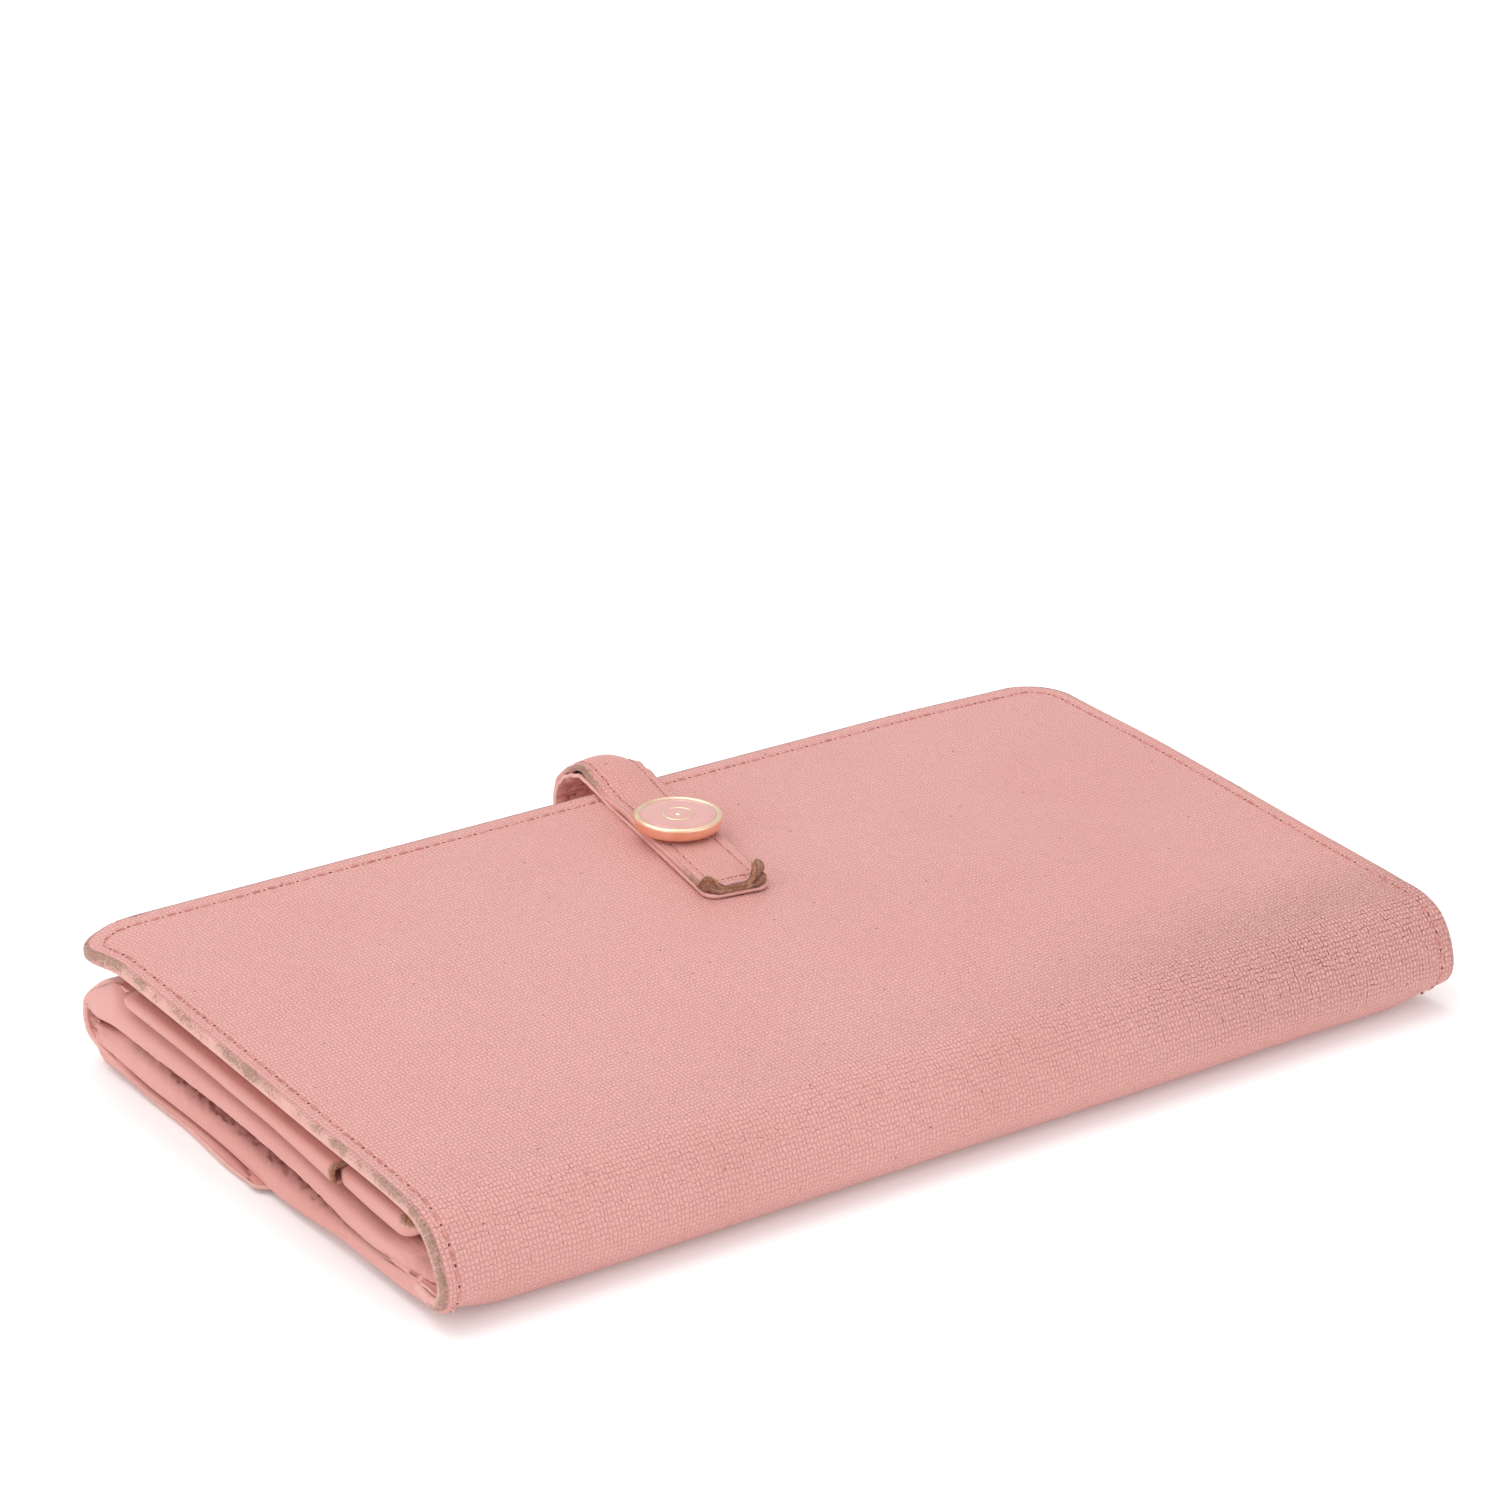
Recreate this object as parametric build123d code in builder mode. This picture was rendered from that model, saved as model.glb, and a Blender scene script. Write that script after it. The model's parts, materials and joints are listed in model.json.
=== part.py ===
"""Long bifold wallet with a snapped strap over its opening edge and a bellows coin pocket at the back.

Millimetres. X runs along the wallet, Y across it, Z up. The wallet lies closed on its back: its spine
is at -Y, its opening edge at +Y, and the strap's slack loop stands out past that edge. The origin is
the middle of the footprint, on the surface that the wallet rests on.
"""
from math import cos, radians, sin
import os

from build123d import *

os.makedirs("parts", exist_ok=True)

# Overall size
LENGTH = 185.0
HALF = LENGTH / 2
EDGE_Y = 43.0  # opening edge of the cover

# The layers are flat leaves that slope up from the spine to the opening edge. A leaf's height is given
# at these two places, and is straight between them.
NEAR_Y = -46.0
FAR_Y = 41.0

# Outer line of the wallet in the YZ plane, as three skins that fold on each other at the two creases
LOWER_CREASE = (-57.6, 2.4)
UPPER_CREASE = (-56.6, 12.2)
BACK_LINE = [(-56.4, 1.45), (-55.2, 0.7), (-52, 0), (-18, 0), (-12.5, 1.65), (6, 1.65), (24, 2.65), (29, 3.4)]
SPINE_LINE = [(-57.75, 2.65), (-58.95, 5.6), (-58.3, 9.0), (-56.75, 11.95)]
COVER_CURL = [(-56.4, 12.45), (-54.2, 14.8), (-51.2, 16.5), (-46, 17.1)]
COVER_END = (EDGE_Y, 21.0)  # straight from the curl's last point
WALL_LINE = [(34.5, 16.1), (38.5, 14.6), (42.6, 11.4), (44.0, 8.0), (43.4, 4.9)]
FLAP_LINE = [(6, 0), (24, 1.0), (36, 2.9), (41.6, 4.05)]
FLAP_END_Y = -13.0

# Leather thicknesses
LEATHER = 1.0
BOARD = 0.6  # room for the stiffener between the cover's leather and its lining
LINING = 0.6
SLOT = 0.3  # one card slot's leaf
COIN_LINING = 0.4
POCKET_WALL = 0.8  # between the coin pocket and the bill compartment
EDGE_WALL = 1.2
FLAP_LEATHER = 0.8
FLAP_LINING = 0.5

# Half lengths of the pieces, stepped in from the cover's edge
BACK_HALF = 91.5
FLAP_HALF = 90.0
POCKET_HALF = 90.5
LINING_HALF = HALF - 0.5
BOARD_HALF = HALF - 3
BILL_HALF = 88.0
COIN_LINING_HALF = 82.0
POCKET_MOUTH_Y = 33.5

COVER_CORNER = 8.0
FLAP_CORNER = 10.0

# Strap: it lies a little askew across the cover
STRAP_SKEW = radians(9)
STRAP_WIDTH = 11.0
STRAP_LEATHER = 1.1
STRAP_LINING = 0.9
STRAP_THICK = STRAP_LEATHER + STRAP_LINING
STRAP_TIP = 46.0  # from the loop's middle to the tip
STRAP_DROP = 2.0 / STRAP_TIP
TIP_CORNER = 2.2
STRAP_UNDERSIDE = 21.5  # of the lining, above the loop's middle
LOOP_X, LOOP_Y, LOOP_Z = 6.5, 46.6, 14.7
LOOP_REACH, LOOP_RISE = 10.5, 7.8  # half axes of the loop's middle line

# Round button and the two press studs
BUTTON_AT = 24.1  # from the loop's middle, along the strap
BUTTON_R = 6.9
BUTTON_HIGH = 2.1
ENAMEL_R = 5.9
SOCKET_R = 4.6
SOCKET_BORE_R = 2.6
SOCKET_HIGH = 1.2
SOCKET_ROOF = 0.35  # closes the socket's bore on the button's side
STUD_R = 1.9
POST_R = 1.3
PLATE_R = 3.0
PLATE_THICK = 0.25
COIN_SNAP_Y = -4.0

FIT = 0.1  # room round a metal part in its leather


def save(part, label):
    """Label a finished piece and write it."""
    part.label = label
    export_step(part, f"parts/{label}.step")


def height(y, near, far):
    """Height at y of a straight layer that is at near over NEAR_Y and at far over FAR_Y."""
    return near + (far - near) * (y - NEAR_Y) / (FAR_Y - NEAR_Y)


def cover_top(y):
    """Height of the cover's outer face, on its straight run."""
    (y0, z0), (y1, z1) = COVER_CURL[-1], COVER_END
    return z0 + (z1 - z0) * (y - y0) / (y1 - y0)


def round_ends(piece, radius, end):
    """Round a sheet's two upright corners at its lowest (0) or highest (-1) end along Y."""
    fillet(piece.edges().filter_by(Axis.Z).group_by(Axis.Y)[end], radius)


def leaf(y0, y1, near, far, thick, x0, x1, corner=0.0):
    """Flat sloping sheet from y0 to y1 and x0 to x1. near and far are its underside's heights."""
    low, high = height(y0, near, far), height(y1, near, far)
    with BuildPart() as piece:
        with BuildSketch(Plane.YZ.offset(x0)):
            with BuildLine():
                Polyline((y0, low), (y1, high), (y1, high + thick), (y0, low + thick), close=True)
            make_face()
        extrude(amount=x1 - x0)
        if corner:
            round_ends(piece, corner, -1)
    return piece.part


def draped(points, start, thick, half):
    """Sheet that follows straight runs, start above them and thick deep, measured upwards."""
    lower = [(y, z + start) for y, z in points]
    upper = [(y, z + start + thick) for y, z in reversed(points)]
    with BuildPart() as piece:
        with BuildSketch(Plane.YZ):
            with BuildLine():
                Polyline(*lower, *upper, close=True)
            make_face()
        extrude(amount=half, both=True)
    return piece.part


def offset_points(line, distance, count=9):
    """Points beside a curve, on its right hand."""
    places = [n / (count - 1) for n in range(count)]
    return [line @ t + Vector((line % t).Y, -(line % t).X) * distance for t in places]


def skin(points, start, thick, half, end=None, corner=0.0):
    """Curved sheet whose outer face is start inside the smooth line through the points.

    With an end, the sheet goes on straight to it from the last point.
    """
    first, last = Vector(*points[0]), Vector(*points[-1])
    way = (Vector(*end) - last).normalized() if end else last - Vector(*points[-2])
    with BuildLine(mode=Mode.PRIVATE):
        line = Spline(*points, tangents=[Vector(*points[1]) - first, way])
    with BuildPart() as piece:
        with BuildSketch(Plane.YZ):
            with BuildLine():
                outer = Spline(*offset_points(line, start), tangents=[line % 0, line % 1])
                inner = Spline(*offset_points(line, start + thick), tangents=[line % 0, line % 1])
                Line(outer @ 0, inner @ 0)
                if end:
                    run = way * (end[0] - last.X) / way.X
                    Polyline(outer @ 1, outer @ 1 + run, inner @ 1 + run, inner @ 1)
                else:
                    Line(outer @ 1, inner @ 1)
            make_face()
        extrude(amount=half, both=True)
        if corner:
            far = piece.faces().sort_by(Axis.Y)[-1]
            fillet([e for e in far.edges() if abs((e % 0.5).X) < 0.5], corner)
    return piece.part


# ---------------------------------------------------------------- back of the wallet and coin pocket
with BuildPart() as back_leather:
    add(draped(BACK_LINE, 0, LEATHER, BACK_HALF))
    with Locations((0, COIN_SNAP_Y, 0)):
        Cylinder(POST_R + FIT, 8 * LEATHER, mode=Mode.SUBTRACT)
save(back_leather.part, "back_leather")

with BuildPart() as coin_pocket_lining:
    add(draped([(-50, 0)] + BACK_LINE[3:], LEATHER, COIN_LINING, COIN_LINING_HALF))
    with Locations((0, COIN_SNAP_Y, 0)):
        Cylinder(POST_R + FIT, 8 * LEATHER, mode=Mode.SUBTRACT)
save(coin_pocket_lining.part, "coin_pocket_lining")

MID_LINE = [(-54, 1.55), (-49, 6.4), (-44, 8.65), (39.4, 11.45)]
save(draped(MID_LINE, 0, POCKET_WALL, BACK_HALF), "coin_pocket_wall")

strap_plane = Plane(
    origin=(LOOP_X, LOOP_Y, 0),
    x_dir=(-sin(STRAP_SKEW), -cos(STRAP_SKEW), 0),
    z_dir=(-cos(STRAP_SKEW), sin(STRAP_SKEW), 0),
)
BASE_Z = LOOP_Z - LOOP_RISE
WALL_AT = 3.5  # from the loop's middle to the wall that the strap's end goes through
with BuildPart() as edge_wall:
    add(skin(WALL_LINE, 0, EDGE_WALL, BACK_HALF))
    with BuildSketch(strap_plane):
        with Locations((WALL_AT, BASE_Z)):
            Rectangle(4 * EDGE_WALL, STRAP_THICK + 2 * FIT)
    extrude(amount=STRAP_WIDTH / 2 + FIT, both=True, mode=Mode.SUBTRACT)
save(edge_wall.part, "edge_wall")

GUSSET_FOLD = 6.0  # how far the bellows folds in
GUSSET_THICK = 0.8
# At each end of a gusset: y, and the heights of its top, fold and bottom.
GUSSET_ENDS = ((-44, 8.55, 4.8, 1.5), (40, 11.35, 7.4, 5.55))
for side, sign in (("left", -1), ("right", 1)):
    with BuildPart() as gusset:
        for y, top, fold, bottom in GUSSET_ENDS:
            with BuildSketch(Plane(origin=(0, y, 0), x_dir=(1, 0, 0), z_dir=(0, -1, 0))):
                out, deep = sign * POCKET_HALF, sign * (POCKET_HALF - GUSSET_FOLD)
                step = -sign * GUSSET_THICK
                with BuildLine():
                    Polyline(
                        (out, top), (deep, fold), (out, bottom),
                        (out + step, bottom), (deep + step, fold), (out + step, top), close=True,
                    )
                make_face()
        loft(ruled=True)
    save(gusset.part, f"coin_gusset_{side}")

# Press stud of the coin pocket: its head points down, out of the back
COIN_STUD_R, COIN_STUD_LOW, COIN_STUD_HIGH = 1.7, 0.75, 0.85
COIN_POST_HIGH = 1.5
with BuildPart() as coin_snap_stud:
    with BuildSketch(Plane.XY.offset(COIN_STUD_LOW)):
        with Locations((0, COIN_SNAP_Y)):
            Circle(COIN_STUD_R)
    extrude(amount=COIN_STUD_HIGH)
    with BuildSketch(Plane.XY.offset(COIN_STUD_LOW + COIN_STUD_HIGH)):
        with Locations((0, COIN_SNAP_Y)):
            Circle(POST_R)
    extrude(amount=COIN_POST_HIGH)
    with BuildSketch(Plane.XY.offset(COIN_STUD_LOW + COIN_STUD_HIGH + COIN_POST_HIGH - FIT / 5)):
        with Locations((0, COIN_SNAP_Y)):
            Circle(PLATE_R)
    extrude(amount=PLATE_THICK)
save(coin_snap_stud.part, "coin_snap_stud")

# ---------------------------------------------------------------- inner pocket and its card slots
DIVIDER_LOW = (9.7, 12.6)  # heights of the undersides, over NEAR_Y and FAR_Y
POCKET_BACK_LOW = (10.3, 13.2)
POCKET_FACE_LOW = (11.7, 15.7)
DIVIDER_THICK = 0.3
POCKET_THICK = 0.5
POCKET_END = 0.8
save(leaf(NEAR_Y, POCKET_MOUTH_Y - 0.5, *DIVIDER_LOW, DIVIDER_THICK, -BILL_HALF, BILL_HALF), "bill_divider")
pocket_back = leaf(NEAR_Y, POCKET_MOUTH_Y, *POCKET_BACK_LOW, POCKET_THICK, -POCKET_HALF, POCKET_HALF)
save(pocket_back, "inner_pocket_back")
pocket_face = leaf(NEAR_Y, POCKET_MOUTH_Y, *POCKET_FACE_LOW, POCKET_THICK, -POCKET_HALF, POCKET_HALF)
save(pocket_face, "inner_pocket_face")

for side, x0 in (("left", -POCKET_HALF), ("right", POCKET_HALF - POCKET_END)):
    with BuildPart() as pocket_end:
        with BuildSketch(Plane.YZ.offset(x0)):
            lower = [(y, height(y, *POCKET_BACK_LOW) + POCKET_THICK) for y in (NEAR_Y, POCKET_MOUTH_Y)]
            upper = [(y, height(y, *POCKET_FACE_LOW)) for y in (POCKET_MOUTH_Y, NEAR_Y)]
            with BuildLine():
                Polyline(*lower, *upper, close=True)
            make_face()
        extrude(amount=POCKET_END)
    save(pocket_end.part, f"inner_pocket_end_{side}")

SLOT_MOUTHS_INNER = (29, 18, 7)
SLOT_MOUTHS_COVER = (33, 23, 13, 3)
SLOTS_INNER_NEAR, SLOTS_COVER_NEAR = -32, -30
SLOTS_INNER_LOW = (12.2, 16.2)
SLOTS_COVER_LOW = (14.8, 18.68)
SLOT_COLUMNS = (("left", -89.5, -1.0), ("right", 1.0, 89.5))  # each takes an 85.6 mm card
for side, x0, x1 in SLOT_COLUMNS:
    for n, mouth in enumerate(SLOT_MOUTHS_INNER):
        low = [z + SLOT * n for z in SLOTS_INNER_LOW]
        save(leaf(SLOTS_INNER_NEAR, mouth, *low, SLOT, x0, x1), f"inner_card_slot_{side}_{n + 1}")

# ---------------------------------------------------------------- spine
save(skin(SPINE_LINE, 0, LEATHER, HALF), "spine_leather")
save(skin(SPINE_LINE, LEATHER, LINING, LINING_HALF), "spine_lining")

# ---------------------------------------------------------------- cover
BUTTON_X = LOOP_X - BUTTON_AT * sin(STRAP_SKEW)
BUTTON_Y = LOOP_Y - BUTTON_AT * cos(STRAP_SKEW)
COVER_AT_BUTTON = cover_top(BUTTON_Y)
STRAP_AT_BUTTON = STRAP_UNDERSIDE - STRAP_DROP * BUTTON_AT

with BuildPart() as cover_leather:
    add(skin(COVER_CURL, 0, LEATHER, HALF, COVER_END, COVER_CORNER))
    with Locations((BUTTON_X, BUTTON_Y, COVER_AT_BUTTON)):
        Cylinder(POST_R + FIT, 3 * LEATHER, mode=Mode.SUBTRACT)
save(cover_leather.part, "cover_leather")

BOARD_LOW = (15.52, 19.33)  # heights of its underside, over NEAR_Y and FAR_Y
BOARD_THICK = BOARD - 0.05
BOARD_END_Y = EDGE_Y - 3
with BuildPart() as cover_board:
    add(leaf(NEAR_Y, BOARD_END_Y, *BOARD_LOW, BOARD_THICK, -BOARD_HALF, BOARD_HALF, COVER_CORNER - 3))
    with Locations((BUTTON_X, BUTTON_Y, COVER_AT_BUTTON)):
        Cylinder(PLATE_R + FIT, 6 * LEATHER, mode=Mode.SUBTRACT)
save(cover_board.part, "cover_board")

cover_lining = skin(COVER_CURL, LEATHER + BOARD, LINING, LINING_HALF, COVER_END, COVER_CORNER)
save(cover_lining, "cover_lining")

for side, x0, x1 in SLOT_COLUMNS:
    for n, mouth in enumerate(SLOT_MOUTHS_COVER):
        low = [z - SLOT * (n + 1) for z in SLOTS_COVER_LOW]
        save(leaf(SLOTS_COVER_NEAR, mouth, *low, SLOT, x0, x1), f"cover_card_slot_{side}_{n + 1}")

STUD_HIGH = STRAP_AT_BUTTON - COVER_AT_BUTTON + SOCKET_HIGH / 2
STUD_LOW = COVER_AT_BUTTON - LEATHER - BOARD / 2 - FIT
HEAD_ABOVE = 0.15  # clear of the cover's slope
with BuildPart() as closure_stud:
    with BuildSketch(Plane.XY.offset(STUD_LOW)):
        with Locations((BUTTON_X, BUTTON_Y)):
            Circle(PLATE_R)
    extrude(amount=PLATE_THICK)
    with BuildSketch(Plane.XY.offset(STUD_LOW)):
        with Locations((BUTTON_X, BUTTON_Y)):
            Circle(POST_R)
    extrude(amount=COVER_AT_BUTTON - STUD_LOW + STUD_HIGH / 2)
    with BuildSketch(Plane.XY.offset(COVER_AT_BUTTON + HEAD_ABOVE)):
        with Locations((BUTTON_X, BUTTON_Y)):
            Circle(STUD_R)
    extrude(amount=STUD_HIGH - HEAD_ABOVE)
    fillet(closure_stud.edges().filter_by(GeomType.CIRCLE).sort_by(Axis.Z)[-1], 0.2)
save(closure_stud.part, "closure_stud")

# ---------------------------------------------------------------- strap
def strap_layer(start, thick, hole_r, recess_r, recess_high):
    """One layer of the strap's straight run, start above its underside, with its hole and recess."""
    def level(u):
        return STRAP_UNDERSIDE + start - STRAP_DROP * u

    with BuildPart() as layer:
        with BuildSketch(strap_plane):
            with BuildLine():
                Polyline(
                    (FIT, level(FIT)), (STRAP_TIP, level(STRAP_TIP)),
                    (STRAP_TIP, level(STRAP_TIP) + thick), (FIT, level(FIT) + thick), close=True,
                )
            make_face()
        extrude(amount=STRAP_WIDTH / 2, both=True)
        upright = layer.edges().filter_by(Axis.Z)
        fillet([e for e in upright if strap_plane.to_local_coords(e @ 0).X > STRAP_TIP / 2], TIP_CORNER)
        with Locations((BUTTON_X, BUTTON_Y, level(BUTTON_AT))):
            Cylinder(hole_r, 4 * STRAP_THICK, mode=Mode.SUBTRACT)
        with Locations((BUTTON_X, BUTTON_Y, STRAP_AT_BUTTON)):
            Cylinder(recess_r, 2 * recess_high, mode=Mode.SUBTRACT)
    return layer.part


with BuildPart() as strap_lining:
    add(strap_layer(0, STRAP_LINING, SOCKET_R + FIT, SOCKET_R + FIT, SOCKET_HIGH))
save(strap_lining.part, "strap_lining")

with BuildPart() as strap_leather:
    add(strap_layer(STRAP_LINING, STRAP_LEATHER, POST_R + FIT, SOCKET_R + FIT, SOCKET_HIGH + FIT))
save(strap_leather.part, "strap_leather")

# Slack loop past the opening edge, and the strap's end, which goes through the wall and is sewn inside it
with BuildPart() as strap_loop:
    with BuildSketch(strap_plane):
        with Locations((0, LOOP_Z)):
            Ellipse(LOOP_REACH + STRAP_THICK / 2, LOOP_RISE + STRAP_THICK / 2)
            Ellipse(LOOP_REACH - STRAP_THICK / 2, LOOP_RISE - STRAP_THICK / 2, mode=Mode.SUBTRACT)
        with Locations((15, LOOP_Z)):
            Rectangle(30, 60, mode=Mode.SUBTRACT)
    extrude(amount=STRAP_WIDTH / 2, both=True)
save(strap_loop.part, "strap_loop")

SEWN_AT, SEWN_THICK, SEWN_HIGH = 7.1, 1.6, 3.4  # the end turns up behind the wall
with BuildPart() as strap_end:
    with BuildSketch(strap_plane):
        low, high = BASE_Z - STRAP_THICK / 2, BASE_Z + STRAP_THICK / 2
        with BuildLine():
            Polyline(
                (FIT, low), (SEWN_AT, low), (SEWN_AT, BASE_Z + SEWN_HIGH),
                (SEWN_AT - SEWN_THICK, BASE_Z + SEWN_HIGH),
                (SEWN_AT - SEWN_THICK, high), (FIT, high), close=True,
            )
        make_face()
    extrude(amount=STRAP_WIDTH / 2, both=True)
save(strap_end.part, "strap_end")

with BuildPart() as closure_socket:
    with BuildSketch(Plane.XY.offset(STRAP_AT_BUTTON)):
        with Locations((BUTTON_X, BUTTON_Y)):
            Circle(SOCKET_R)
            Circle(SOCKET_BORE_R, mode=Mode.SUBTRACT)
    extrude(amount=SOCKET_HIGH)
    with BuildSketch(Plane.XY.offset(STRAP_AT_BUTTON + SOCKET_HIGH - SOCKET_ROOF)):
        with Locations((BUTTON_X, BUTTON_Y)):
            Circle(SOCKET_R)
            Circle(POST_R, mode=Mode.SUBTRACT)
    extrude(amount=SOCKET_ROOF)
save(closure_socket.part, "closure_socket")

BUTTON_LOW = STRAP_AT_BUTTON + STRAP_THICK + 0.3  # the strap slopes under the flat cap
CAP_POST_LOW = STRAP_AT_BUTTON + SOCKET_HIGH - SOCKET_ROOF + FIT / 2
INLAY = 0.5
with BuildPart() as button_cap:
    with BuildSketch(Plane.XY.offset(BUTTON_LOW)):
        with Locations((BUTTON_X, BUTTON_Y)):
            Circle(BUTTON_R)
    extrude(amount=BUTTON_HIGH)
    fillet(button_cap.edges().sort_by(Axis.Z)[-1], 0.3)
    with BuildSketch(Plane.XY.offset(BUTTON_LOW + BUTTON_HIGH - INLAY)):
        with Locations((BUTTON_X, BUTTON_Y)):
            Circle(ENAMEL_R)
    extrude(amount=INLAY, mode=Mode.SUBTRACT)
    with BuildSketch(Plane.XY.offset(CAP_POST_LOW)):
        with Locations((BUTTON_X, BUTTON_Y)):
            Circle(POST_R)
    extrude(amount=BUTTON_LOW - CAP_POST_LOW)
save(button_cap.part, "button_cap")

MOTIF_R, MOTIF_WIDE = 2.6, 0.5  # plain ring and dot, set in the enamel
with BuildPart() as button_enamel:
    with BuildSketch(Plane.XY.offset(BUTTON_LOW + BUTTON_HIGH - INLAY)):
        with Locations((BUTTON_X, BUTTON_Y)):
            Circle(ENAMEL_R)
            Circle(MOTIF_R, mode=Mode.SUBTRACT)
            Circle(MOTIF_R - MOTIF_WIDE)
            Circle(MOTIF_WIDE, mode=Mode.SUBTRACT)
    extrude(amount=INLAY - FIT / 2)
save(button_enamel.part, "button_enamel")

with BuildPart() as button_motif:
    with BuildSketch(Plane.XY.offset(BUTTON_LOW + BUTTON_HIGH - INLAY)):
        with Locations((BUTTON_X, BUTTON_Y)):
            Circle(MOTIF_R)
            Circle(MOTIF_R - MOTIF_WIDE, mode=Mode.SUBTRACT)
            Circle(MOTIF_WIDE)
    extrude(amount=INLAY)
save(button_motif.part, "button_motif")

# ---------------------------------------------------------------- coin flap, folded under the wallet
def flap_layer(start, thick):
    """One layer of the flap: flat under the wallet, then a curve up to the crease."""
    with BuildPart() as layer:
        with BuildSketch(Plane.YZ):
            with BuildLine():
                lower = Spline(*[(y, z + start) for y, z in FLAP_LINE], tangents=[(1, 0), (1, 0.25)])
                upper = Spline(*[(y, z + start + thick) for y, z in FLAP_LINE], tangents=[(1, 0), (1, 0.25)])
                Polyline(lower @ 0, (FLAP_END_Y, start), (FLAP_END_Y, start + thick), upper @ 0)
                Line(lower @ 1, upper @ 1)
            make_face()
        extrude(amount=FLAP_HALF, both=True)
        round_ends(layer, FLAP_CORNER, 0)
    return layer.part


COIN_SOCKET_LOW = 0.35
COIN_SOCKET_HIGH = 1.05
COIN_SOCKET_FLOOR = 0.25
with BuildPart() as flap_leather:
    add(flap_layer(0, FLAP_LEATHER))
    with BuildSketch(Plane.XY.offset(COIN_SOCKET_LOW)):
        with Locations((0, COIN_SNAP_Y)):
            Circle(SOCKET_R + FIT)
    extrude(amount=FLAP_LEATHER, mode=Mode.SUBTRACT)
save(flap_leather.part, "flap_leather")

with BuildPart() as flap_lining:
    add(flap_layer(FLAP_LEATHER, FLAP_LINING))
    with Locations((0, COIN_SNAP_Y, FLAP_LEATHER)):
        Cylinder(SOCKET_R + FIT, 6 * FLAP_LEATHER, mode=Mode.SUBTRACT)
save(flap_lining.part, "flap_lining")

with BuildPart() as coin_snap_socket:
    with BuildSketch(Plane.XY.offset(COIN_SOCKET_LOW)):
        with Locations((0, COIN_SNAP_Y)):
            Circle(SOCKET_R)
    extrude(amount=COIN_SOCKET_HIGH)
    with BuildSketch(Plane.XY.offset(COIN_SOCKET_LOW + COIN_SOCKET_FLOOR)):
        with Locations((0, COIN_SNAP_Y)):
            Circle(SOCKET_BORE_R)
    extrude(amount=COIN_SOCKET_HIGH, mode=Mode.SUBTRACT)
save(coin_snap_socket.part, "coin_snap_socket")
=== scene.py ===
"""Looks of the long wallet: leather skins, rolled ends, stitching, worn edges, strap and enamel button.

Lengths are in millimetres until a mesh is made, and in metres in Blender. X runs along the wallet, Y across
it from the spine (-Y) to the opening edge (+Y), and Z up. A skin is a line in the YZ plane that runs along X.
"""
import json
import math
import random

import bpy
import numpy as np
from mathutils import Matrix, Vector, noise


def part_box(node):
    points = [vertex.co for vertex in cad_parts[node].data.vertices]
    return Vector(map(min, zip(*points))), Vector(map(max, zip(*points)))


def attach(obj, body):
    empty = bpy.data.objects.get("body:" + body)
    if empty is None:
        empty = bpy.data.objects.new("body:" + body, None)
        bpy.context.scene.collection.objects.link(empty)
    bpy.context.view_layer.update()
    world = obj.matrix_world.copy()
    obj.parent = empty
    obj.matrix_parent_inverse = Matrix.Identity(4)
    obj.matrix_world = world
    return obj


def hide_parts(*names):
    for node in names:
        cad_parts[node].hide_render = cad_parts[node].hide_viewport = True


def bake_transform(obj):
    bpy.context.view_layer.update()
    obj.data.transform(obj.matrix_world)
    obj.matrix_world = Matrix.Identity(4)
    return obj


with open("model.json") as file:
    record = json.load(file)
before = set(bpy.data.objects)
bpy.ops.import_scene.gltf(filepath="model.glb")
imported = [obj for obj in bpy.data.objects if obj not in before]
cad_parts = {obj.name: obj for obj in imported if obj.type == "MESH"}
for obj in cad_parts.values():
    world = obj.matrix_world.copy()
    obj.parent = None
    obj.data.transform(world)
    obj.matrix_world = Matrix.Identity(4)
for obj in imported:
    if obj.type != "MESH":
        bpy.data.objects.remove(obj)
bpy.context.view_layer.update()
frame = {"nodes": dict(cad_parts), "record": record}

MM = 0.001
random.seed(7)


# ----- sizes from the frame
def corners(node):
    """Lowest and highest corner of a CAD node, in millimetres."""
    low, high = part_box(node)
    return low / MM, high / MM


HALF = corners("cover_leather")[1].x
EDGE_Y = corners("cover_leather")[1].y
FAR_TOP = corners("cover_leather")[1].z
BACK_HALF = corners("back_leather")[1].x
FLAP_HALF = corners("flap_leather")[1].x + 1.1  # the soft flap lies level with the ends
FLAP_END_Y = corners("flap_leather")[0].y
STUD_LOW, STUD_HIGH = corners("button_cap")
BUTTON_X = (STUD_LOW.x + STUD_HIGH.x) / 2
BUTTON_Y = (STUD_LOW.y + STUD_HIGH.y) / 2
BUTTON_TOP = STUD_HIGH.z

# Strap: its own frame turns a little from the wallet's, about the middle of its loop
STRAP_SKEW = math.radians(9)
STRAP_HALF = 5.5
LOOP_X, LOOP_Y = 6.5, 46.6

# Outer line of the back, the spine and the cover, from the back's far edge round to the opening edge
SKIN_BACK = [(29, 3.4), (24, 2.65), (6, 1.75), (-11.5, 1.7), (-18, 0.45), (-24, 0.3), (-52, 0.3),
             (-55.7, 0.95)]
SKIN_SPINE = [(-57.75, 2.65), (-58.95, 5.6), (-58.9, 7.6), (-58.2, 9.6), (-56.65, 12.3)]
SKIN_COVER = [(-54.5, 14.7), (-51.2, 16.4), (-46, 17.15), (-24, 18.1), (0, 19.16), (EDGE_Y, FAR_TOP)]
SPINE_MIDDLE_Z = 7.4  # where the back's leather meets the cover's

# Outer line of the pocket's far wall and the flap that folds on under the wallet
SKIN_WALL = [(33.5, 16.0), (38.6, 14.6), (42.6, 11.6), (44.1, 8.0), (43.4, 4.9)]
SKIN_FLAP = [(41.7, 3.4), (36.5, 1.9), (28, 0.75), (18, 0.35), (6, 0.3), (FLAP_END_Y, 0.3)]

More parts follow.
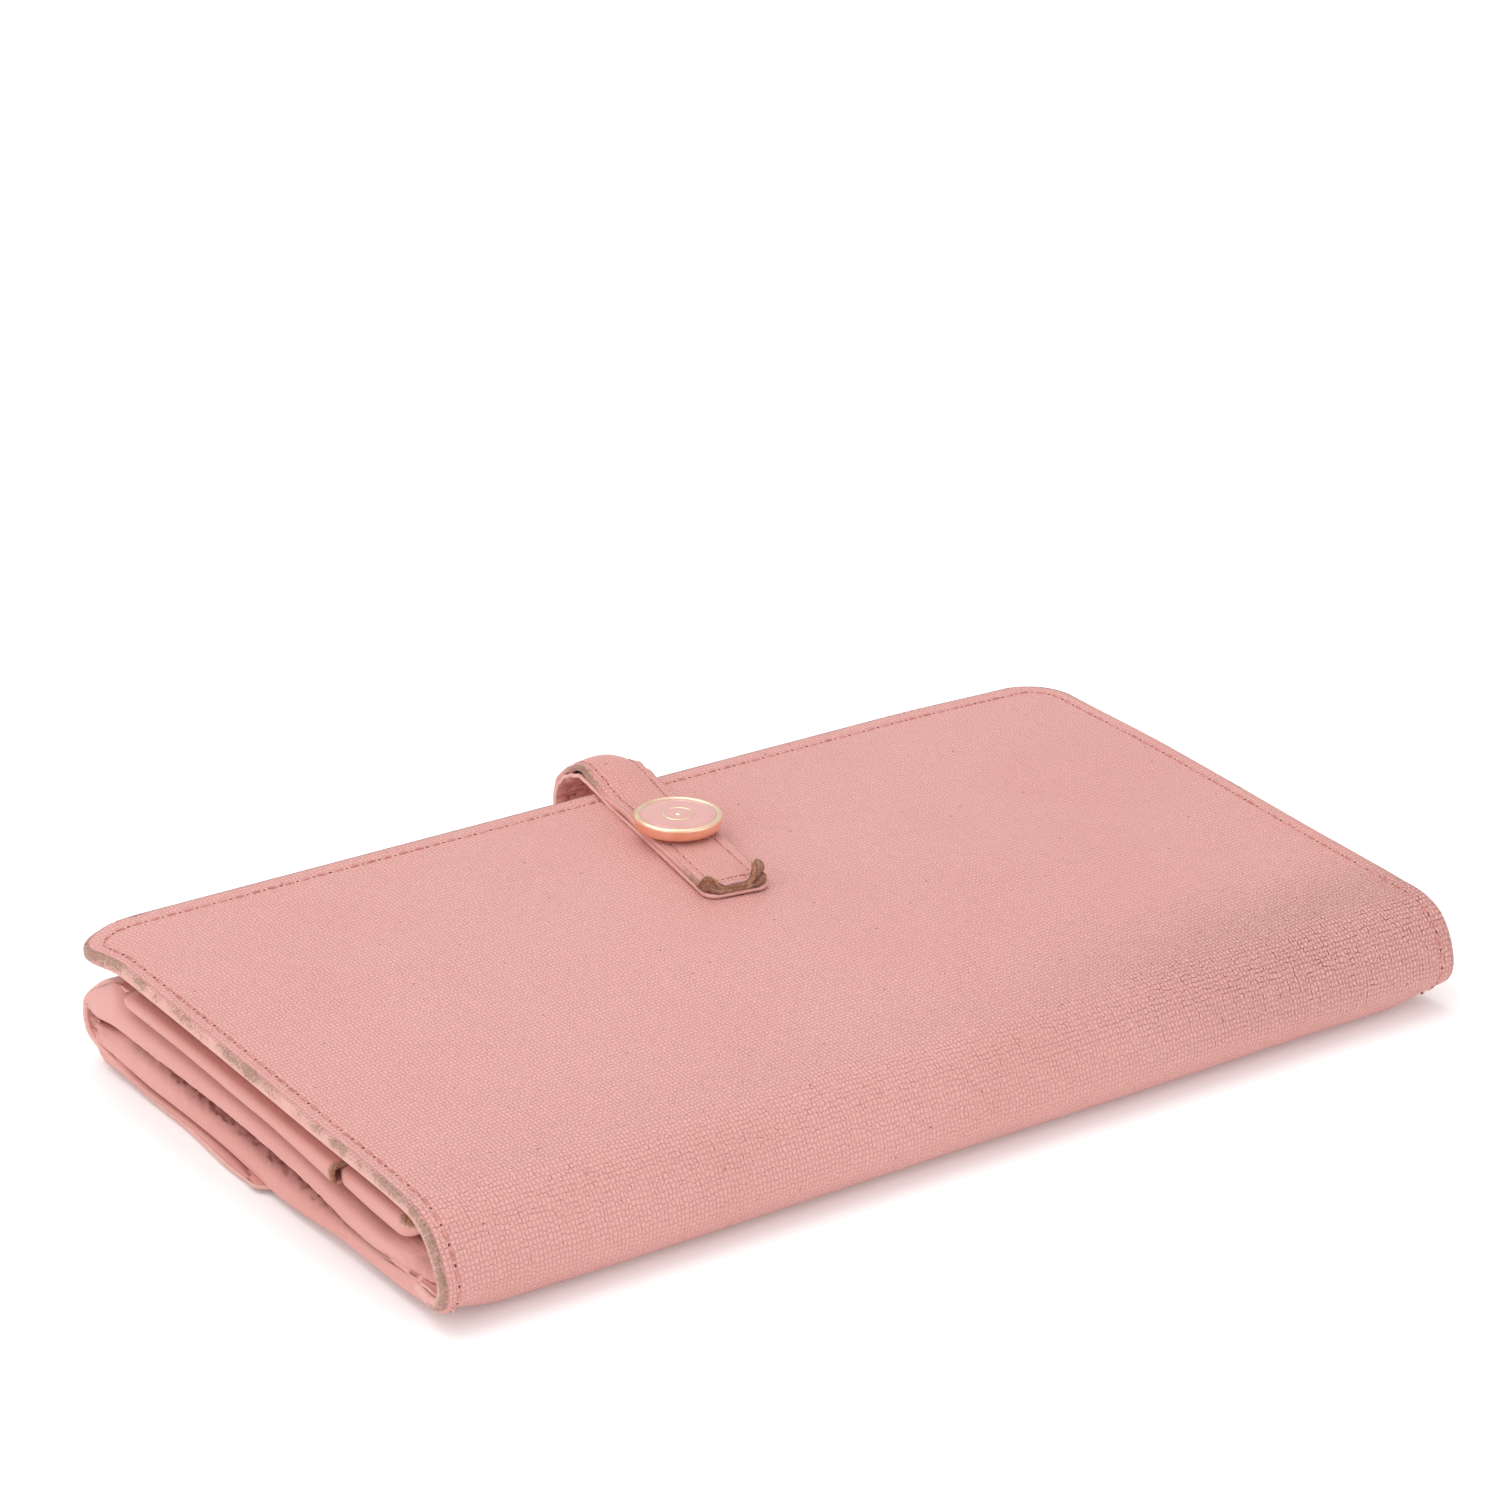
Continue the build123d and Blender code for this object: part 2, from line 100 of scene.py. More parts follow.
COVER_THICK = 1.9  # leather and board, up to the lining
LINING = 0.5
WALL_THICK = 1.3
COVER_CORNER = 8.0
FLAP_CORNER = 10.0

STITCH_INSET = 2.7
STITCH_PITCH = 2.9


# ----- shapes
def step(x, low, high):
    """Smooth step from 0 at low to 1 at high."""
    t = np.clip((np.asarray(x, float) - low) / (high - low), 0, 1)
    return t * t * (3 - 2 * t)


def hump(x, middle, width):
    """Smooth hump of 1 at middle, gone at about two widths from it."""
    return np.exp(-(((np.asarray(x, float) - middle) / width) ** 2))


def rough(*axes):
    """Smooth noise from about -0.5 to 0.5 at each place, one unit to a bump."""
    axes = np.broadcast_arrays(*axes)
    flat = [a.ravel() for a in axes] + [np.zeros(axes[0].size)] * (3 - len(axes))
    values = [noise.noise(p) for p in zip(*flat)]
    return np.array(values).reshape(axes[0].shape)


def table(places):
    """Function that reads a smooth height from (place, height) pairs."""
    at, value = np.array(sorted(places), float).T
    fine = np.linspace(at[0], at[-1], 400)
    level = np.interp(fine, at, value)
    width = 3.0
    kernel = np.exp(-((np.arange(-60, 61) * (fine[1] - fine[0]) / width) ** 2))
    kernel /= kernel.sum()
    level = np.convolve(np.pad(level, 60, mode="edge"), kernel, mode="valid")
    return lambda y: np.interp(y, fine, level)


def smooth_line(points, pitch=0.25):
    """Smooth line through the points, as evenly spaced places and the way along them."""
    points = np.array(points, float)
    ends = np.vstack([2 * points[0] - points[1], points, 2 * points[-1] - points[-2]])
    t = np.linspace(0, 1, 24, endpoint=False)[:, None]
    runs = []
    for a, b, c, d in zip(ends, ends[1:], ends[2:], ends[3:]):
        k1, k2, k3 = (math.sqrt(np.linalg.norm(v)) for v in (b - a, c - b, d - c))
        leave = k2 * ((b - a) / k1 - (c - a) / (k1 + k2) + (c - b) / k2)
        reach = k2 * ((c - b) / k2 - (d - b) / (k2 + k3) + (d - c) / k3)
        runs.append(
            (2 * t**3 - 3 * t**2 + 1) * b + (t**3 - 2 * t**2 + t) * leave
            + (3 * t**2 - 2 * t**3) * c + (t**3 - t**2) * reach
        )
    line = np.vstack(runs + [points[-1:]])
    way = np.concatenate([[0], np.cumsum(np.linalg.norm(np.diff(line, axis=0), axis=1))])
    even = np.linspace(0, way[-1], max(8, int(way[-1] / pitch)))
    return np.column_stack([np.interp(even, way, line[:, k]) for k in (0, 1)]), even


class Patch:
    """A surface that is given by a function of two lengths. Its outer side is where a x b points."""

    reach = 0.2

    def normal(self, a, b):
        e = self.reach
        along_a = self.at(a + e, b) - self.at(a - e, b)
        along_b = self.at(a, b + e) - self.at(a, b - e)
        n = np.cross(along_a, along_b)
        return n / np.maximum(np.linalg.norm(n, axis=-1, keepdims=True), 1e-9)


class Skin(Patch):
    """A line in the YZ plane, run along X. shift(x, s) moves it out, lift(x, s) up, and pull(x, s) along X and s."""

    def __init__(self, points, shift=None, lift=None, pull=None, depth=0.0, centre=0.0, turned=False):
        self.line, self.way = smooth_line(points)
        self.length = self.way[-1]
        self.shift, self.lift, self.pull, self.depth = shift, lift, pull, depth
        self.centre, self.turned = centre, turned
        slope = np.gradient(self.line, self.way, axis=0)
        slope /= np.linalg.norm(slope, axis=1, keepdims=True)
        self.out = np.column_stack([-slope[:, 1], slope[:, 0]])

    def at(self, x, s):
        x, s = np.broadcast_arrays(np.asarray(x, float), np.asarray(s, float))
        aside, along = self.pull(x, s) if self.pull else (0, 0)
        y, z, out_y, out_z = (np.interp(s + along, self.way, c) for c in (*self.line.T, *self.out.T))
        out = -self.depth + (self.shift(x, s) if self.shift else 0)
        up = self.lift(x, s) if self.lift else 0
        place = np.stack([x + self.centre + aside, y + out * out_y, z + out * out_z + up], -1)
        if self.turned:
            c, d = math.cos(STRAP_SKEW), math.sin(STRAP_SKEW)
            turn = np.array([[c, -d, 0], [d, c, 0], [0, 0, 1]])
            place = place @ turn + np.array([LOOP_X, LOOP_Y, 0])
        return place

    def way_at(self, axis, value, first=True):
        """Way along the line where its y (axis 0) or z (axis 1) first or last passes value."""
        side = np.sign(self.line[:, axis] - value)
        crossings = np.nonzero(np.diff(side))[0]
        return self.way[crossings[0] if first else crossings[-1]]


def spread(low, high, pitch, start=(), end=()):
    """Places from low to high, pitch apart, with closer ones at each end, given as insets."""
    a = low + (max(start) if start else 0)
    b = high - (max(end) if end else 0)
    middle = np.linspace(a, b, max(2, int(round((b - a) / pitch)) + 1))
    return np.unique(np.round(np.concatenate([[low + i for i in start], middle, [high - i for i in end]]), 4))


PLAIN_INSETS = (0, 0.8, 1.6)
SEWN_INSETS = (0, 0.9, 1.4, 1.8, 2.1, 2.4, 2.7, 3.0, 3.3, 3.7, 4.4, 5.4)


def round_rows(radius):
    """Insets of rows that follow a rounded corner."""
    return tuple(radius * (1 - math.sin(math.radians(a))) for a in range(0, 90, 6))


def rounded(half, corner, end):
    """Half width along a sheet whose two corners at end are rounded."""
    def width(s):
        over = np.clip(corner - (end - np.asarray(s, float)), 0, corner)
        return half - corner + np.sqrt(corner**2 - over**2)
    return width


def sheet(name, patch, rows, half, thick, rim=0.5, square=0.75, pitch=1.8, insets=PLAIN_INSETS, span=None,
          turns=7, wear=None, butt=None):
    """Closed sheet of leather on a patch, with its edge rounded over.

    half is its half width, a number or a function of the row, or span gives the two ends of every row.
    rim is how far the round of the edge reaches in, and square how full it is (1 is round, less is fuller).
    butt is a row (0 or -1) where the sheet is cut off square, to meet the next sheet without a line.
    """
    rows = np.asarray(rows, float)
    width = half if callable(half) else (lambda s: np.full(np.shape(s), float(half or 0)))
    if span:
        across = np.tile(spread(span[0], span[1], pitch, insets, insets), (len(rows), 1))
    else:
        widest = float(np.max(width(rows)))
        template = spread(-widest, widest, pitch, insets, insets)
        inner = widest - max(insets)
        across = []
        for w in width(rows):
            scale = (w - max(insets)) / inner
            edge = np.sign(template) * (w - (widest - np.abs(template)))
            across.append(np.where(np.abs(template) > inner, edge, template * scale))
        across = np.array(across)
    down = np.repeat(rows[:, None], across.shape[1], axis=1)
    n_rows, n_cols = across.shape
    normal = patch.normal(across, down)
    outer = patch.at(across, down)

    loop = [(0, j) for j in range(n_cols)] + [(i, n_cols - 1) for i in range(1, n_rows)]
    loop += [(n_rows - 1, j) for j in range(n_cols - 2, -1, -1)] + [(i, 0) for i in range(n_rows - 2, 0, -1)]
    at_i, at_j = (np.array(k) for k in zip(*loop))
    ring = outer[at_i, at_j]
    ring_normal = normal[at_i, at_j]
    tangent = np.roll(ring, -1, axis=0) - np.roll(ring, 1, axis=0)
    away = np.cross(tangent, ring_normal)
    away /= np.maximum(np.linalg.norm(away, axis=1, keepdims=True), 1e-9)
    cut = np.zeros(len(loop), bool)
    if butt is not None:
        cut = at_i == butt % n_rows
        away[cut] = side_of(at_j, n_cols)[cut, None] * np.array([1.0, 0.0, 0.0])
    along = patch.at(across + 0.2, down) - patch.at(across - 0.2, down)
    along = (along / np.linalg.norm(along, axis=-1, keepdims=True))[at_i, at_j]
    across_way = np.cross(ring_normal, along)
    away_uv = np.column_stack([(away * along).sum(1), (away * across_way).sum(1)])

    ring = ring - away * rim
    outer[at_i, at_j] = ring
    inner_grid = outer - normal * thick
    uv = np.stack([across, down], -1)
    verts, uvs, rims = [outer.reshape(-1, 3)], [uv.reshape(-1, 2)], [np.zeros(outer[..., 0].size)]
    verts.append(inner_grid.reshape(-1, 3))
    uvs.append(uv.reshape(-1, 2))
    rims.append(np.zeros(outer[..., 0].size))
    count = n_rows * n_cols
    first = at_i * n_cols + at_j
    rings = [first]
    for k in range(1, turns):
        angle = math.pi * k / turns
        out = rim * math.sin(angle) ** square
        fall = thick / 2 * (1 - math.copysign(abs(math.cos(angle)) ** square, math.cos(angle)))
        verts.append(ring + away * out - ring_normal * fall)
        uvs.append(uv[at_i, at_j] + away_uv * out + away_uv * fall)
        rims.append(np.where(cut & (np.abs(side_of(at_j, n_cols)) < 1), 0, min(1.0, 1.3 * math.sin(angle))))
        rings.append(np.arange(len(loop)) + 2 * count + (k - 1) * len(loop))
    rings.append(first + count)

    index = np.arange(count).reshape(n_rows, n_cols)
    a, b, c, d = index[:-1, :-1], index[:-1, 1:], index[1:, 1:], index[1:, :-1]
    faces = np.stack([a, b, c, d], -1).reshape(-1, 4).tolist()
    faces += (np.stack([d, c, b, a], -1).reshape(-1, 4) + count).tolist()
    for upper, lower in zip(rings, rings[1:]):
        faces += np.stack([upper, lower, np.roll(lower, -1), np.roll(upper, -1)], -1).tolist()
    piece = mesh_piece(name, np.vstack(verts), faces, np.vstack(uvs), np.concatenate(rims))
    if butt is not None:
        sharpen(piece, set(first[cut]) | set(first[cut] + count))
    if wear:
        set_attribute(piece, "wear", wear(np.vstack(uvs)[:, 0], np.vstack(uvs)[:, 1]))
    return piece


def side_of(column, columns):
    """-1 at a sheet's first column, 1 at its last and 0 between."""
    return np.where(column == 0, -1.0, np.where(column == columns - 1, 1.0, 0.0))


def sharpen(piece, places):
    """Keep the shading of the surfaces apart along the edges between these vertices."""
    for edge in piece.data.edges:
        if edge.vertices[0] in places and edge.vertices[1] in places:
            edge.use_edge_sharp = True


def set_attribute(piece, name, values):
    """Give a piece a number at every vertex, for its material to read."""
    attribute = piece.data.attributes.get(name) or piece.data.attributes.new(name, "FLOAT", "POINT")
    attribute.data.foreach_set("value", np.asarray(values, np.float32))


def mesh_piece(name, verts, faces, uvs=None, rims=None):
    """Smooth mesh object from places in millimetres, with its surface lengths as a UV map."""
    mesh = bpy.data.meshes.new(name)
    mesh.from_pydata((np.asarray(verts) * MM).tolist(), [], faces)
    mesh.update()
    mesh.shade_smooth()
    verts = np.asarray(verts)
    if uvs is None:
        uvs = verts[:, :2]
    layer = mesh.uv_layers.new(name="surface")
    corner_vertex = np.zeros(len(mesh.loops), np.int32)
    mesh.loops.foreach_get("vertex_index", corner_vertex)
    layer.data.foreach_set("uv", (np.asarray(uvs)[corner_vertex] / 100).astype(np.float32).ravel())
    piece = bpy.data.objects.new(name, mesh)
    bpy.context.scene.collection.objects.link(piece)
    set_attribute(piece, "rim", np.zeros(len(verts)) if rims is None else rims)
    set_attribute(piece, "wear", np.zeros(len(verts)))
    return piece


def lathe(name, profile, centre, turns=96):
    """Closed turned piece. profile is (radius, height) from its top middle down to its bottom middle."""
    rings = [p for p in profile if p[0] > 0]
    angles = np.linspace(0, 2 * math.pi, turns, endpoint=False)
    verts = [(centre[0], centre[1], centre[2] + profile[0][1])]
    for radius, high in rings:
        verts += [(centre[0] + radius * math.cos(a), centre[1] + radius * math.sin(a), centre[2] + high)
                  for a in angles]
    verts.append((centre[0], centre[1], centre[2] + profile[-1][1]))
    faces = [(0, 1 + k, 1 + (k + 1) % turns) for k in range(turns)]
    for r in range(len(rings) - 1):
        a = 1 + r * turns
        faces += [(a + k, a + turns + k, a + turns + (k + 1) % turns, a + (k + 1) % turns) for k in range(turns)]
    a, last = 1 + (len(rings) - 1) * turns, len(verts) - 1
    faces += [(last, a + (k + 1) % turns, a + k) for k in range(turns)]
    return mesh_piece(name, verts, faces)


def tube_ring(name, centre, radius, wide, high, turns=96, sides=10):
    """Closed ring of oval section that lies flat."""
    verts, faces = [], []
    for k in range(turns):
        a = 2 * math.pi * k / turns
        for m in range(sides):
            b = 2 * math.pi * m / sides
            r = radius + wide / 2 * math.cos(b)
            verts.append((centre[0] + r * math.cos(a), centre[1] + r * math.sin(a), centre[2] + high / 2 * math.sin(b)))
    for k in range(turns):
        for m in range(sides):
            n, o = (k + 1) % turns, (m + 1) % sides
            faces.append((k * sides + m, n * sides + m, n * sides + o, k * sides + o))
    return mesh_piece(name, verts, faces)


# ----- materials
def linear(r, g, b):
    """Colour for a shader from the eight-bit colour that a screen shows."""
    def one(v):
        v /= 255
        return v / 12.92 if v <= 0.04045 else ((v + 0.055) / 1.055) ** 2.4
    return (one(r), one(g), one(b), 1.0)


class Look:
    """A node material, put together call by call."""

    def __init__(self, name):
        self.material = bpy.data.materials.new(name)
        self.material.use_nodes = True
        self.tree = self.material.node_tree
        self.tree.nodes.clear()
        self.shader = self.node("BsdfPrincipled")
        output = self.node("OutputMaterial")
        self.tree.links.new(self.shader.outputs["BSDF"], output.inputs["Surface"])
        self.surface = self.node("UVMap", uv_map="surface").outputs["UV"]
        self.body = self.node("TexCoord").outputs["Object"]

    def node(self, kind, inputs=None, **settings):
        made = self.tree.nodes.new("ShaderNode" + kind)
        for key, value in settings.items():
            setattr(made, key, value)
        for key, value in (inputs or {}).items():
            self.set(made.inputs[key], value)
        return made

    def set(self, socket, value):
        if isinstance(value, bpy.types.NodeSocket):
            self.tree.links.new(value, socket)
        else:
            socket.default_value = value

    def math(self, operation, a, b=0.0, clamp=False):
        made = self.node("Math", {0: a, 1: b}, operation=operation, use_clamp=clamp)
        return made.outputs[0]

    def scaled(self, vector, scale):
        return self.node("VectorMath", {0: vector, 1: scale}, operation="MULTIPLY").outputs[0]

    def noise(self, vector, scale, detail=2.0, rough_by=0.5, colour=False):
        made = self.node("TexNoise", {"Vector": vector, "Scale": scale, "Detail": detail, "Roughness": rough_by})
        return made.outputs["Color" if colour else "Fac"]

    def ramp(self, value, low, high, to_low=0.0, to_high=1.0):
        inputs = {"Value": value, "From Min": low, "From Max": high, "To Min": to_low, "To Max": to_high}
        return self.node("MapRange", inputs, interpolation_type="SMOOTHSTEP").outputs["Result"]

    def mix(self, share, a, b, blend="MIX"):
        made = self.node("Mix", {"Factor": share}, data_type="RGBA", blend_type=blend)
        self.set([s for s in made.inputs if s.name == "A" and s.type == "RGBA"][0], a)
        self.set([s for s in made.inputs if s.name == "B" and s.type == "RGBA"][0], b)
        return [s for s in made.outputs if s.type == "RGBA"][0]

    def attribute(self, name):
        return self.node("Attribute", attribute_name=name).outputs["Fac"]

    def bump(self, height, distance, strength=1.0, under=None):
        inputs = {"Height": height, "Distance": distance * MM, "Strength": strength}
        if under is not None:
            inputs["Normal"] = under
        return self.node("Bump", inputs).outputs["Normal"]

    def finish(self, **sockets):
        for name, value in sockets.items():
            self.set(self.shader.inputs[name.replace("_", " ")], value)
        return self.material


PINK = linear(223, 162, 155)
PINK_DEEP = linear(219, 156, 149)
PAINT = linear(221, 172, 160)
TAUPE = linear(146, 119, 96)
RAW = linear(152, 92, 64)
RAW_PALE = linear(188, 146, 118)


def leather(name, tone=PINK, deep=PINK_DEEP, paint=PAINT, grain=1.0, creases=0.0, gloss=0.43, cell=(1.5, 1.25)):
    """Pink leather: a fine boarded grain with shaded valleys, soft mottling, specks, painted shade in folds, painted
    rims and raw worn places.
    """
    look = Look(name)
    place = look.scaled(look.surface, (100, 100, 100))
    warp = look.noise(place, 0.55, 2.0, colour=True)
    warp = look.node("VectorMath", {0: warp, 1: (0.5, 0.5, 0.5)}, operation="SUBTRACT").outputs[0]
    warped = look.node("VectorMath", {0: warp, 1: (0.7, 0.7, 0), 2: place}, operation="MULTIPLY_ADD").outputs[0]
    cells = look.node(
        "TexVoronoi", {"Vector": look.scaled(warped, (*cell, 1)), "Scale": 1.0, "Randomness": 0.42},
        feature="DISTANCE_TO_EDGE", voronoi_dimensions="2D",
    ).outputs["Distance"]
    plateau = look.ramp(cells, 0.0, 0.2)
    long_cells = look.node(
        "TexVoronoi", {"Vector": look.scaled(warped, (0.95, 1.3, 1)), "Scale": 1.0, "Randomness": 0.5},
        feature="DISTANCE_TO_EDGE", voronoi_dimensions="2D",
    ).outputs["Distance"]
    long_plateau = look.ramp(long_cells, 0.0, 0.09)
    pores = look.noise(place, 3.2, 3.0, 0.6)
    cloud = look.noise(look.body, 26.0, 3.0, 0.55)
    patch = look.noise(look.body, 95.0, 3.0, 0.6)
    rim, wear, crease = look.attribute("rim"), look.attribute("wear"), look.attribute("crease")

    colour = look.mix(look.ramp(cloud, 0.3, 0.7), tone, deep)
    colour = look.mix(look.ramp(patch, 0.35, 0.75, 0.0, 0.3), colour, tone)
    # Grain tone and painted shade together: the grain's valleys are darkened as if shadowed.
    creased = look.math("MULTIPLY", look.ramp(plateau, 0.0, 1.0, 1.0, 0.0), 0.16 * grain)
    colour = look.mix(creased, colour, linear(176, 104, 96))
    speck_cells = look.node(
        "TexVoronoi", {"Vector": look.scaled(place, (0.055, 0.055, 1)), "Scale": 1.0, "Randomness": 1.0},
        feature="F1", voronoi_dimensions="2D",
    ).outputs["Distance"]
    speck = look.ramp(speck_cells, 0.008, 0.016, 0.6, 0.0)
    colour = look.mix(speck, colour, linear(140, 82, 66))

    # Painted shade: a vertex attribute darkens the folds and recesses of the pocket ends towards dark red-brown,
    # standing in for their shadow.
    colour = look.mix(look.math("MULTIPLY", look.attribute("painted_shade"), 0.75), colour, linear(142, 74, 66))

    fine = look.noise(place, 1.9, 5.0, 0.75)
    blot = look.noise(place, 0.3, 3.0, 0.65)
    paint_tone = look.mix(look.ramp(blot, 0.35, 0.65), paint, tone)
    colour = look.mix(look.ramp(rim, 0.15, 0.8), colour, paint_tone)
    worn = look.math("ADD", wear, look.math("MULTIPLY", look.math("SUBTRACT", fine, 0.5), 2.8))
    worn = look.math("ADD", worn, look.math("MULTIPLY", look.math("SUBTRACT", blot, 0.5), 1.1))
    taupe_share = look.math("MULTIPLY", look.ramp(worn, 0.45, 0.85, 0.0, 0.72), look.ramp(wear, 0.04, 0.35))
    colour = look.mix(taupe_share, colour, TAUPE)
    raw_share = look.math("MULTIPLY", look.ramp(worn, 0.9, 1.25), look.ramp(wear, 0.7, 0.95))
    raw_tone = look.mix(look.ramp(fine, 0.46, 0.62), RAW, RAW_PALE)
    colour = look.mix(raw_share, colour, raw_tone)

    keep = look.ramp(rim, 0.1, 0.7, 1.0, 0.25)
    surface = look.math("MULTIPLY", plateau, look.math("MULTIPLY", keep, look.ramp(crease, 0.0, 1.0, 0.85, 1.55)))
    normal = look.bump(surface, 0.125 * grain)
    crease_share = look.math("ADD", 0.2, crease, clamp=True)
    normal = look.bump(look.math("MULTIPLY", long_plateau, crease_share), 0.06 * grain, under=normal)
    normal = look.bump(pores, 0.05, under=normal)
    if creases:
        fold_place = look.scaled(warped, (0.035, 0.62, 1))
        folds = look.noise(fold_place, 1.0, 3.0, 0.55)
        mask = look.math("MULTIPLY", crease, creases)
        normal = look.bump(look.math("MULTIPLY", folds, mask), 0.07, under=normal)
    normal = look.bump(look.math("MULTIPLY", fine, look.ramp(wear, 0.1, 0.9)), 0.25, under=normal)
    glossy = look.ramp(cloud, 0.2, 0.8, gloss - 0.05, gloss + 0.07)
    glossy = look.math("ADD", glossy, look.math("MULTIPLY", look.ramp(wear, 0.1, 0.9), 0.25), clamp=True)
    return look.finish(Base_Color=colour, Roughness=glossy, Normal=normal, Specular_IOR_Level=0.45,
                       Sheen_Weight=0.06, Sheen_Roughness=0.5)


def thread_look(name):
    """Tonal sewing thread, with its twist."""
    look = Look(name)
    twist = look.node("TexWave", {"Vector": look.body, "Scale": 900.0, "Distortion": 1.0}, bands_direction="DIAGONAL")
    shade = look.noise(look.body, 500.0, 2.0)
    colour = look.mix(look.ramp(shade, 0.3, 0.7), linear(184, 112, 102), linear(216, 152, 142))
    return look.finish(Base_Color=colour, Roughness=0.6, Normal=look.bump(twist.outputs["Fac"], 0.05))


def hole_shade_look(name):
    """Painted shade: a dark plug that stands in for the shadowed inside of a needle hole."""
    look = Look(name)
    shade = look.noise(look.body, 900.0, 2.0)
    return look.finish(Base_Color=look.mix(shade, linear(96, 44, 38), linear(140, 76, 64)), Roughness=0.9)


def metal_look(name, tone, tint, rough_by, scratch=(260.0, 260.0, 1400.0), bite=0.012):
    """Plated metal: fine brushing or scratches, and a little tarnish."""
    look = Look(name)
    lines = look.noise(look.scaled(look.body, scratch), 1.0, 4.0, 0.65)
    cloud = look.noise(look.body, 320.0, 3.0)
    colour = look.mix(look.ramp(cloud, 0.35, 0.75), tone, tint)
    return look.finish(Base_Color=colour, Metallic=1.0, Roughness=look.ramp(lines, 0.3, 0.75, rough_by, rough_by + 0.16),
                       Normal=look.bump(lines, bite))


def enamel_look(name):
    """Smooth poured enamel with very slight clouding."""
    look = Look(name)
    cloud = look.noise(look.body, 420.0, 3.0)
    colour = look.mix(look.ramp(cloud, 0.3, 0.7), linear(212, 152, 147), linear(216, 158, 152))
    ripple = look.noise(look.body, 260.0, 1.0)
    return look.finish(Base_Color=colour, Roughness=look.ramp(cloud, 0.3, 0.7, 0.16, 0.24), Coat_Weight=0.5,
                       Coat_Roughness=0.08, Normal=look.bump(ripple, 0.03))


def board_look(name):
    """Grey card stiffener, with fibres."""
    look = Look(name)
    fibre = look.noise(look.scaled(look.body, (900, 200, 900)), 1.0, 4.0, 0.7)
    return look.finish(Base_Color=look.mix(fibre, linear(150, 138, 124), linear(186, 174, 158)), Roughness=0.9,
                       Normal=look.bump(fibre, 0.05))


def raw_look(name):
    """Raw brown fibre core of the strap, where its end is worn through."""
    look = Look(name)
    fibre = look.noise(look.scaled(look.body, (2200, 2200, 3600)), 1.0, 5.0, 0.75)
    cloud = look.noise(look.body, 700.0, 3.0)
    colour = look.mix(look.ramp(fibre, 0.3, 0.7), linear(120, 76, 60), linear(176, 124, 100))
    colour = look.mix(look.ramp(cloud, 0.45, 0.75, 0.0, 0.6), colour, linear(190, 150, 130))
    return look.finish(Base_Color=colour, Roughness=0.92, Normal=look.bump(fibre, 0.2))


GRAINED = leather("grained_leather", creases=1.0)
STRAP_GRAIN = leather("strap_leather_look", tone=linear(218, 156, 148), deep=linear(214, 150, 142),
                      paint=linear(218, 158, 148), grain=0.9, gloss=0.42)
SMOOTH = leather("smooth_leather", tone=linear(221, 159, 150), deep=linear(216, 151, 142), grain=0.28, gloss=0.46,
                 cell=(2.6, 2.2))
LINING_LOOK = leather("lining_leather", tone=linear(221, 161, 152), deep=linear(215, 152, 144), grain=0.2, gloss=0.5,
                      cell=(3.0, 3.0))
THREAD = thread_look("sewing_thread")
HOLE_SHADE = hole_shade_look("needle_hole_shade")
ROSE_GOLD = metal_look("rose_gold", linear(255, 214, 186), linear(252, 198, 166), 0.3)
PALE_GOLD = metal_look("pale_gold", linear(246, 222, 190), linear(238, 206, 168), 0.22)
SNAP = metal_look("snap_metal", linear(214, 190, 158), linear(190, 164, 132), 0.28)
ENAMEL = enamel_look("enamel")
BOARD = board_look("board")
RAW_CORE = raw_look("raw_core")

SLOT_LOOKS = {
    "grained_leather": GRAINED, "smooth_leather": SMOOTH, "lining_leather": LINING_LOOK, "board": BOARD,
    "gold_metal": ROSE_GOLD, "snap_metal": SNAP, "enamel": ENAMEL,
}


def dress(piece, material):
    """Give a piece its material."""
    piece.data.materials.clear()
    piece.data.materials.append(material)
    return piece


